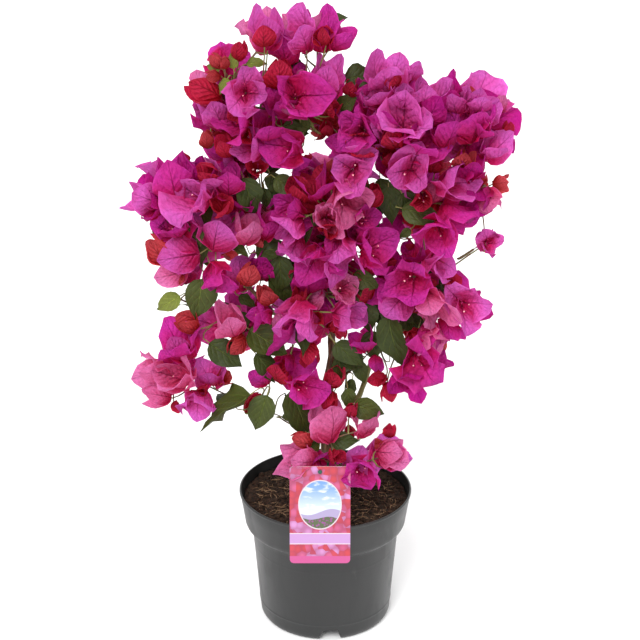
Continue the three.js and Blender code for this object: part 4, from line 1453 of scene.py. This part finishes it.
def add_flowers(crown, root, axis, right, ahead, length, start, rng):
    """Three slim tubes that stand inside an open trio, some of them with their pale star open."""
    for k in range(3):
        turn = start + k * FULL_TURN / 3
        out = math.cos(turn) * right + math.sin(turn) * ahead
        way = unit(axis + out * rng.uniform(0.12, 0.3))
        tall = length * rng.uniform(0.40, 0.52)
        base = root + out * 1.6 * MM
        thick = rng.uniform(0.75, 1.0) * MM
        crown.tubes.append((base, way, tall, thick))
        if rng.random() < 0.45:
            crown.stars.append((base + way * tall, way, rng.uniform(0.7, 1.25) * MM))


def add_leaf(crown, root, heading, upper, length, tone, rng):
    """One leaf on its stalk."""
    heading = unit(heading)
    upper = unit(upper - heading * (upper @ heading))
    stalk = length * rng.uniform(0.14, 0.22)
    base = root + heading * stalk
    bowed = np.array([root, (root + base) / 2 + upper * 0.4 * MM, base])
    crown.stalks.append((bowed, [0.55 * MM, 0.5 * MM, 0.5 * MM]))
    crown.leaves[tone].add(
        root=base,
        heading=heading,
        inside=upper,
        length=length,
        width=length * rng.uniform(0.60, 0.72),
        curl=rng.uniform(0.2, 1.0),
        late=rng.uniform(1.0, 1.6),
        cup=rng.uniform(-0.2, 0.5),
        flatten=0.5,
        fold=rng.uniform(0.05, 0.35),
        wave=rng.uniform(0.10, 0.26),
        waves=rng.uniform(1.4, 2.8),
        crimp=rng.uniform(0.04, 0.10),
        phase=rng.uniform(0, FULL_TURN),
        twist=rng.normal(0, 0.12),
        skew=rng.normal(0, 0.05),
        lobe=0.12,
        rise=rng.uniform(0.58, 0.70),
        fall=rng.uniform(1.10, 1.45),
    )


def best_start(path, place, heading):
    """The path's point from which a twig reaches a place most directly along a heading."""
    ways = place - path[len(path) // 4:]
    cost = np.linalg.norm(ways, axis=1) * (1.5 - unit(ways) @ heading)
    return place - ways[np.argmin(cost)]


def twig_to(crown, mass, root, heading, thick):
    """A curved twig from the mass's bough to the foot of a trio or a leaf."""
    stem = best_start(mass.core, root, heading)
    way = unit(root - stem + MM * UP)
    path = bend(stem, way, root, unit(heading) + way, 7)
    crown.twigs.append((path, np.linspace(thick, 0.6 * thick, 7)))


def place_trio(crown, mass, direction, stage):
    """Grows one trio of the given stage at its layer of the mass, unless the place is taken."""
    rng = mass.rng
    openness = rng.choice(stage["open"]) + rng.normal(0, 0.05)
    reach = mass.reach(direction)
    length = stage["size"] * min(rng.normal(*BRACT_LENGTH), between(min(mass.half), reach, 0.7) * 1.75)
    skin = mass.middle + direction * reach * stage["layer"] * 0.90
    axis = unit(direction + 0.6 * UP + rng.normal(0, 0.30, 3))
    middle = skin - axis * length * 0.42
    room = length * stage["room"]
    if hidden(skin, mass, 0.55) or crown.taken(middle, room):
        return
    if in_gap(middle, 0.30 * length) or covers(crown, middle, 0.50 * length):
        return
    crown.filled.append((middle, room))
    root = skin - (0.75 * axis + 0.25 * direction) * length * 0.98
    twig_to(crown, mass, root, axis, 0.95 * MM)
    add_trio(crown, root, axis, length, openness, bract_tone(openness, root, rng), rng)


def place_leaf(crown, mass, direction, stage):
    """Grows one leaf where there is room between the trios."""
    rng = mass.rng
    tip = mass.middle + direction * mass.reach(direction) * rng.uniform(*stage["layer"])
    way = tip - (mass.entry if mass.leafy else mass.middle)
    length = min(max(24 * MM, rng.normal(*LEAF_LENGTH)), 1.1 * np.linalg.norm(way))
    heading = unit(unit(way) + rng.normal(0, 0.35, 3) - 0.15 * UP)
    middle = tip - heading * length * 0.45
    if length < 18 * MM or hidden(tip, mass, 0.75) or crown.taken(middle, LEAF_CLEAR):
        return
    if in_gap(middle, 0.25 * length) or covers(crown, middle, 0.45 * length):
        return
    crown.filled.append((middle, LEAF_CLEAR))
    root = tip - heading * length
    twig_to(crown, mass, root, heading, 0.85 * MM)
    tone = rng.choice(["dark", "olive", "young"], p=[0.50, 0.42, 0.08])
    upper = unit(0.7 * UP + 0.6 * direction + rng.normal(0, 0.25, 3))
    add_leaf(crown, root, heading, upper, length, tone, rng)


def set_front(crown):
    """Sets the trios and leaves that show at the front, each fed from the mass that it lies in."""
    rng = np.random.default_rng(SEED)
    for foot, heading, length, openness, tone in FRONT_TRIOS:
        root = set_place(*foot)
        axis = unit(heading)
        mass = min(MASSES, key=lambda one: one.depth(root))
        middle = root + axis * 0.5 * length * MM
        crown.filled.append((middle, 0.30 * length * MM))
        crown.shown.append(middle)
        twig_to(crown, mass, root, axis, 0.95 * MM)
        viewer = np.array([0.0, -1.0, 0.0])
        add_trio(crown, root, axis, length * MM, openness, tone, rng, viewer if axis[1] > -0.5 else None)
    for foot, heading, length, tone in FRONT_LEAVES:
        root = set_place(*foot)
        way = unit(heading)
        mass = min(MASSES, key=lambda one: one.depth(root))
        crown.shown.append(root + way * 0.5 * length * MM)
        for share in (0.3, 0.6, 0.9):
            crown.filled.append((root + way * share * length * MM, LEAF_CLEAR))
        twig_to(crown, mass, root, way, 0.85 * MM)
        upper = np.array([0.0, -0.9, 0.45]) + rng.normal(0, 0.25, 3)
        add_leaf(crown, root, way, upper, length * MM, tone, rng)


def fill_crown(crown):
    """Fills the masses round by round: large open trios first, with leaves and buds between them."""
    for stage in STAGES:
        for mass in MASSES:
            tries = stage["tries"] * mass.girth() / MM**2
            if mass.leafy:
                tries *= stage["in_leaves"]
            for direction in even_directions(round(tries), mass.rng):
                if mass.set_by_hand and direction[1] < 0.15:
                    continue
                grow = place_leaf if stage["kind"] == "leaf" else place_trio
                grow(crown, mass, direction, stage)


# ---- Flowers ----


def tube_template():
    """A slim flower tube: a little swollen low down, narrow above and wider at its mouth."""
    bm = bmesh.new()
    bmesh.ops.create_cone(bm, cap_ends=True, segments=6, radius1=1, radius2=1, depth=1)
    bmesh.ops.translate(bm, verts=bm.verts, vec=(0, 0, 0.5))
    upright = [edge for edge in bm.edges if abs(edge.verts[0].co.z - edge.verts[1].co.z) > 0.5]
    bmesh.ops.subdivide_edges(bm, edges=upright, cuts=3, use_grid_fill=True)
    for vert in bm.verts:
        z = vert.co.z
        swell = 0.55 + 0.55 * math.exp(-(((z - 0.28) / 0.22) ** 2)) + 0.35 * z**4
        vert.co.x *= swell
        vert.co.y *= swell
    return Template(bm)


def star_template():
    """The small five-lobed face at a flower tube's mouth."""
    bm = bmesh.new()
    bmesh.ops.create_cone(bm, cap_ends=True, cap_tris=True, segments=10, radius1=1, radius2=0.4, depth=0.5)
    rim = [vert for vert in bm.verts if vert.co.xy.length > 0.9]
    for k, vert in enumerate(sorted(rim, key=lambda one: math.atan2(one.co.y, one.co.x))):
        vert.co.xy *= 1.0 if k % 2 else 0.55
        vert.co.z = 0.32 if k % 2 else 0.1
    return Template(bm)


def stood_on(template, rows):
    """Corners of a template stood up in many places, by rows of place, heading, height and width."""
    corners = template.corners
    places = np.empty((len(rows), len(corners), 3))
    for i, (base, heading, tall, wide) in enumerate(rows):
        side = unit(np.cross(heading, [0.31, 0.74, 0.6]))
        other = np.cross(heading, side)
        level = base + corners[:, :1] * side * wide + corners[:, 1:2] * other * wide
        places[i] = level + corners[:, 2:] * heading * tall
    return places


# ---- Joining what has grown ----


def make_crown(lines):
    """Grows the whole crown and joins it, each kind apart."""
    crown = Crown()
    grow_boughs(crown, lines)
    set_front(crown)
    fill_crown(crown)
    blade = blade_template()
    blossom = [mass.name for mass in MASSES if not mass.leafy]
    foliage = [mass.name for mass in MASSES if mass.leafy]
    for tone, blades in crown.bracts.items():
        name = "bracts_" + tone
        mesh = joined_mesh(name, blade, blade_places(blade, blades.arrays()))
        keep(name, mesh, bract_material(tone), blossom)
    for tone, blades in crown.leaves.items():
        name = "leaves_" + tone
        mesh = joined_mesh(name, blade, blade_places(blade, blades.arrays()))
        keep(name, mesh, leaf_material(tone), foliage)
    branch = shoot_material("young_bark", (0.085, 0.060, 0.030), (0.17, 0.095, 0.052))
    keep("inner_boughs", tubes_mesh("inner_boughs", crown.wood, 5), branch)
    green = shoot_material("green_shoots", (0.20, 0.22, 0.060), (0.19, 0.11, 0.055))
    keep("twigs", tubes_mesh("twigs", crown.twigs, 3), green)
    keep("leaf_stalks", tubes_mesh("leaf_stalks", crown.stalks, 3), green)
    tube = tube_template()
    mesh = joined_mesh("flower_tubes", tube, stood_on(tube, crown.tubes))
    tube_mat = petal_material("flower_tube", (0.40, 0.012, 0.10), (0.22, 0.004, 0.04))
    keep("flower_tubes", mesh, tube_mat)
    star = star_template()
    faces = [(place, way, size, size) for place, way, size in crown.stars]
    mesh = joined_mesh("flower_stars", star, stood_on(star, faces))
    star_mat = petal_material("flower_star", (0.92, 0.55, 0.55), (0.85, 0.25, 0.32))
    keep("flower_stars", mesh, star_mat)


# ---- Studio ----


def make_floor():
    """The plain pale floor."""
    bm = bmesh.new()
    bmesh.ops.create_grid(bm, x_segments=1, y_segments=1, size=6)
    mesh = bpy.data.meshes.new("floor")
    bm.to_mesh(mesh)
    bm.free()
    mat, nodes, shader = new_material("floor", roughness=0.9, specular=0.1)
    cloud = nodes.noise(nodes.object_place(), 3.0, 2.0)
    nodes.feed(shader.inputs["Base Color"], nodes.mix(cloud, (0.93, 0.93, 0.93), (0.96, 0.96, 0.96)))
    mesh.materials.append(mat)
    floor = bpy.data.objects.new("floor", mesh)
    bpy.context.collection.objects.link(floor)


def soft_sun(name, turn, height, power, softness):
    """Soft light from one side: its turn from the front and its height above the floor, in degrees."""
    data = bpy.data.lights.new(name, "SUN")
    data.energy = power
    data.angle = math.radians(softness)
    lamp = bpy.data.objects.new(name, data)
    lamp.rotation_euler = (math.radians(90 - height), 0, math.radians(turn))
    bpy.context.collection.objects.link(lamp)


def light_studio():
    """A white surrounding, a soft main light and a weak one to fill."""
    world = bpy.data.worlds.new("studio")
    world.use_nodes = True
    back = world.node_tree.nodes["Background"]
    back.inputs["Color"].default_value = (1, 1, 1, 1)
    back.inputs["Strength"].default_value = 1.1
    bpy.context.scene.world = world
    soft_sun("key", turn=-18, height=42, power=2.45, softness=25)
    soft_sun("fill", turn=35, height=25, power=0.4, softness=60)
    bpy.context.scene.view_settings.view_transform = "Standard"


make_pot()
make_soil()
limb_lines = {name: limb_line(name) for name in LIMBS}
make_card()
make_tie(limb_lines)
green_limbs = {name: line for name, line in limb_lines.items() if name in GREEN_LIMBS}
brown_limbs = {name: line for name, line in limb_lines.items() if name not in GREEN_LIMBS}
make_limbs("bark_limbs", brown_limbs, bark_material())
olive_bark = shoot_material("olive_bark", (0.17, 0.17, 0.055), (0.15, 0.10, 0.050))
make_limbs("green_limbs", green_limbs, olive_bark)
make_crown(limb_lines)
make_floor()
light_studio()
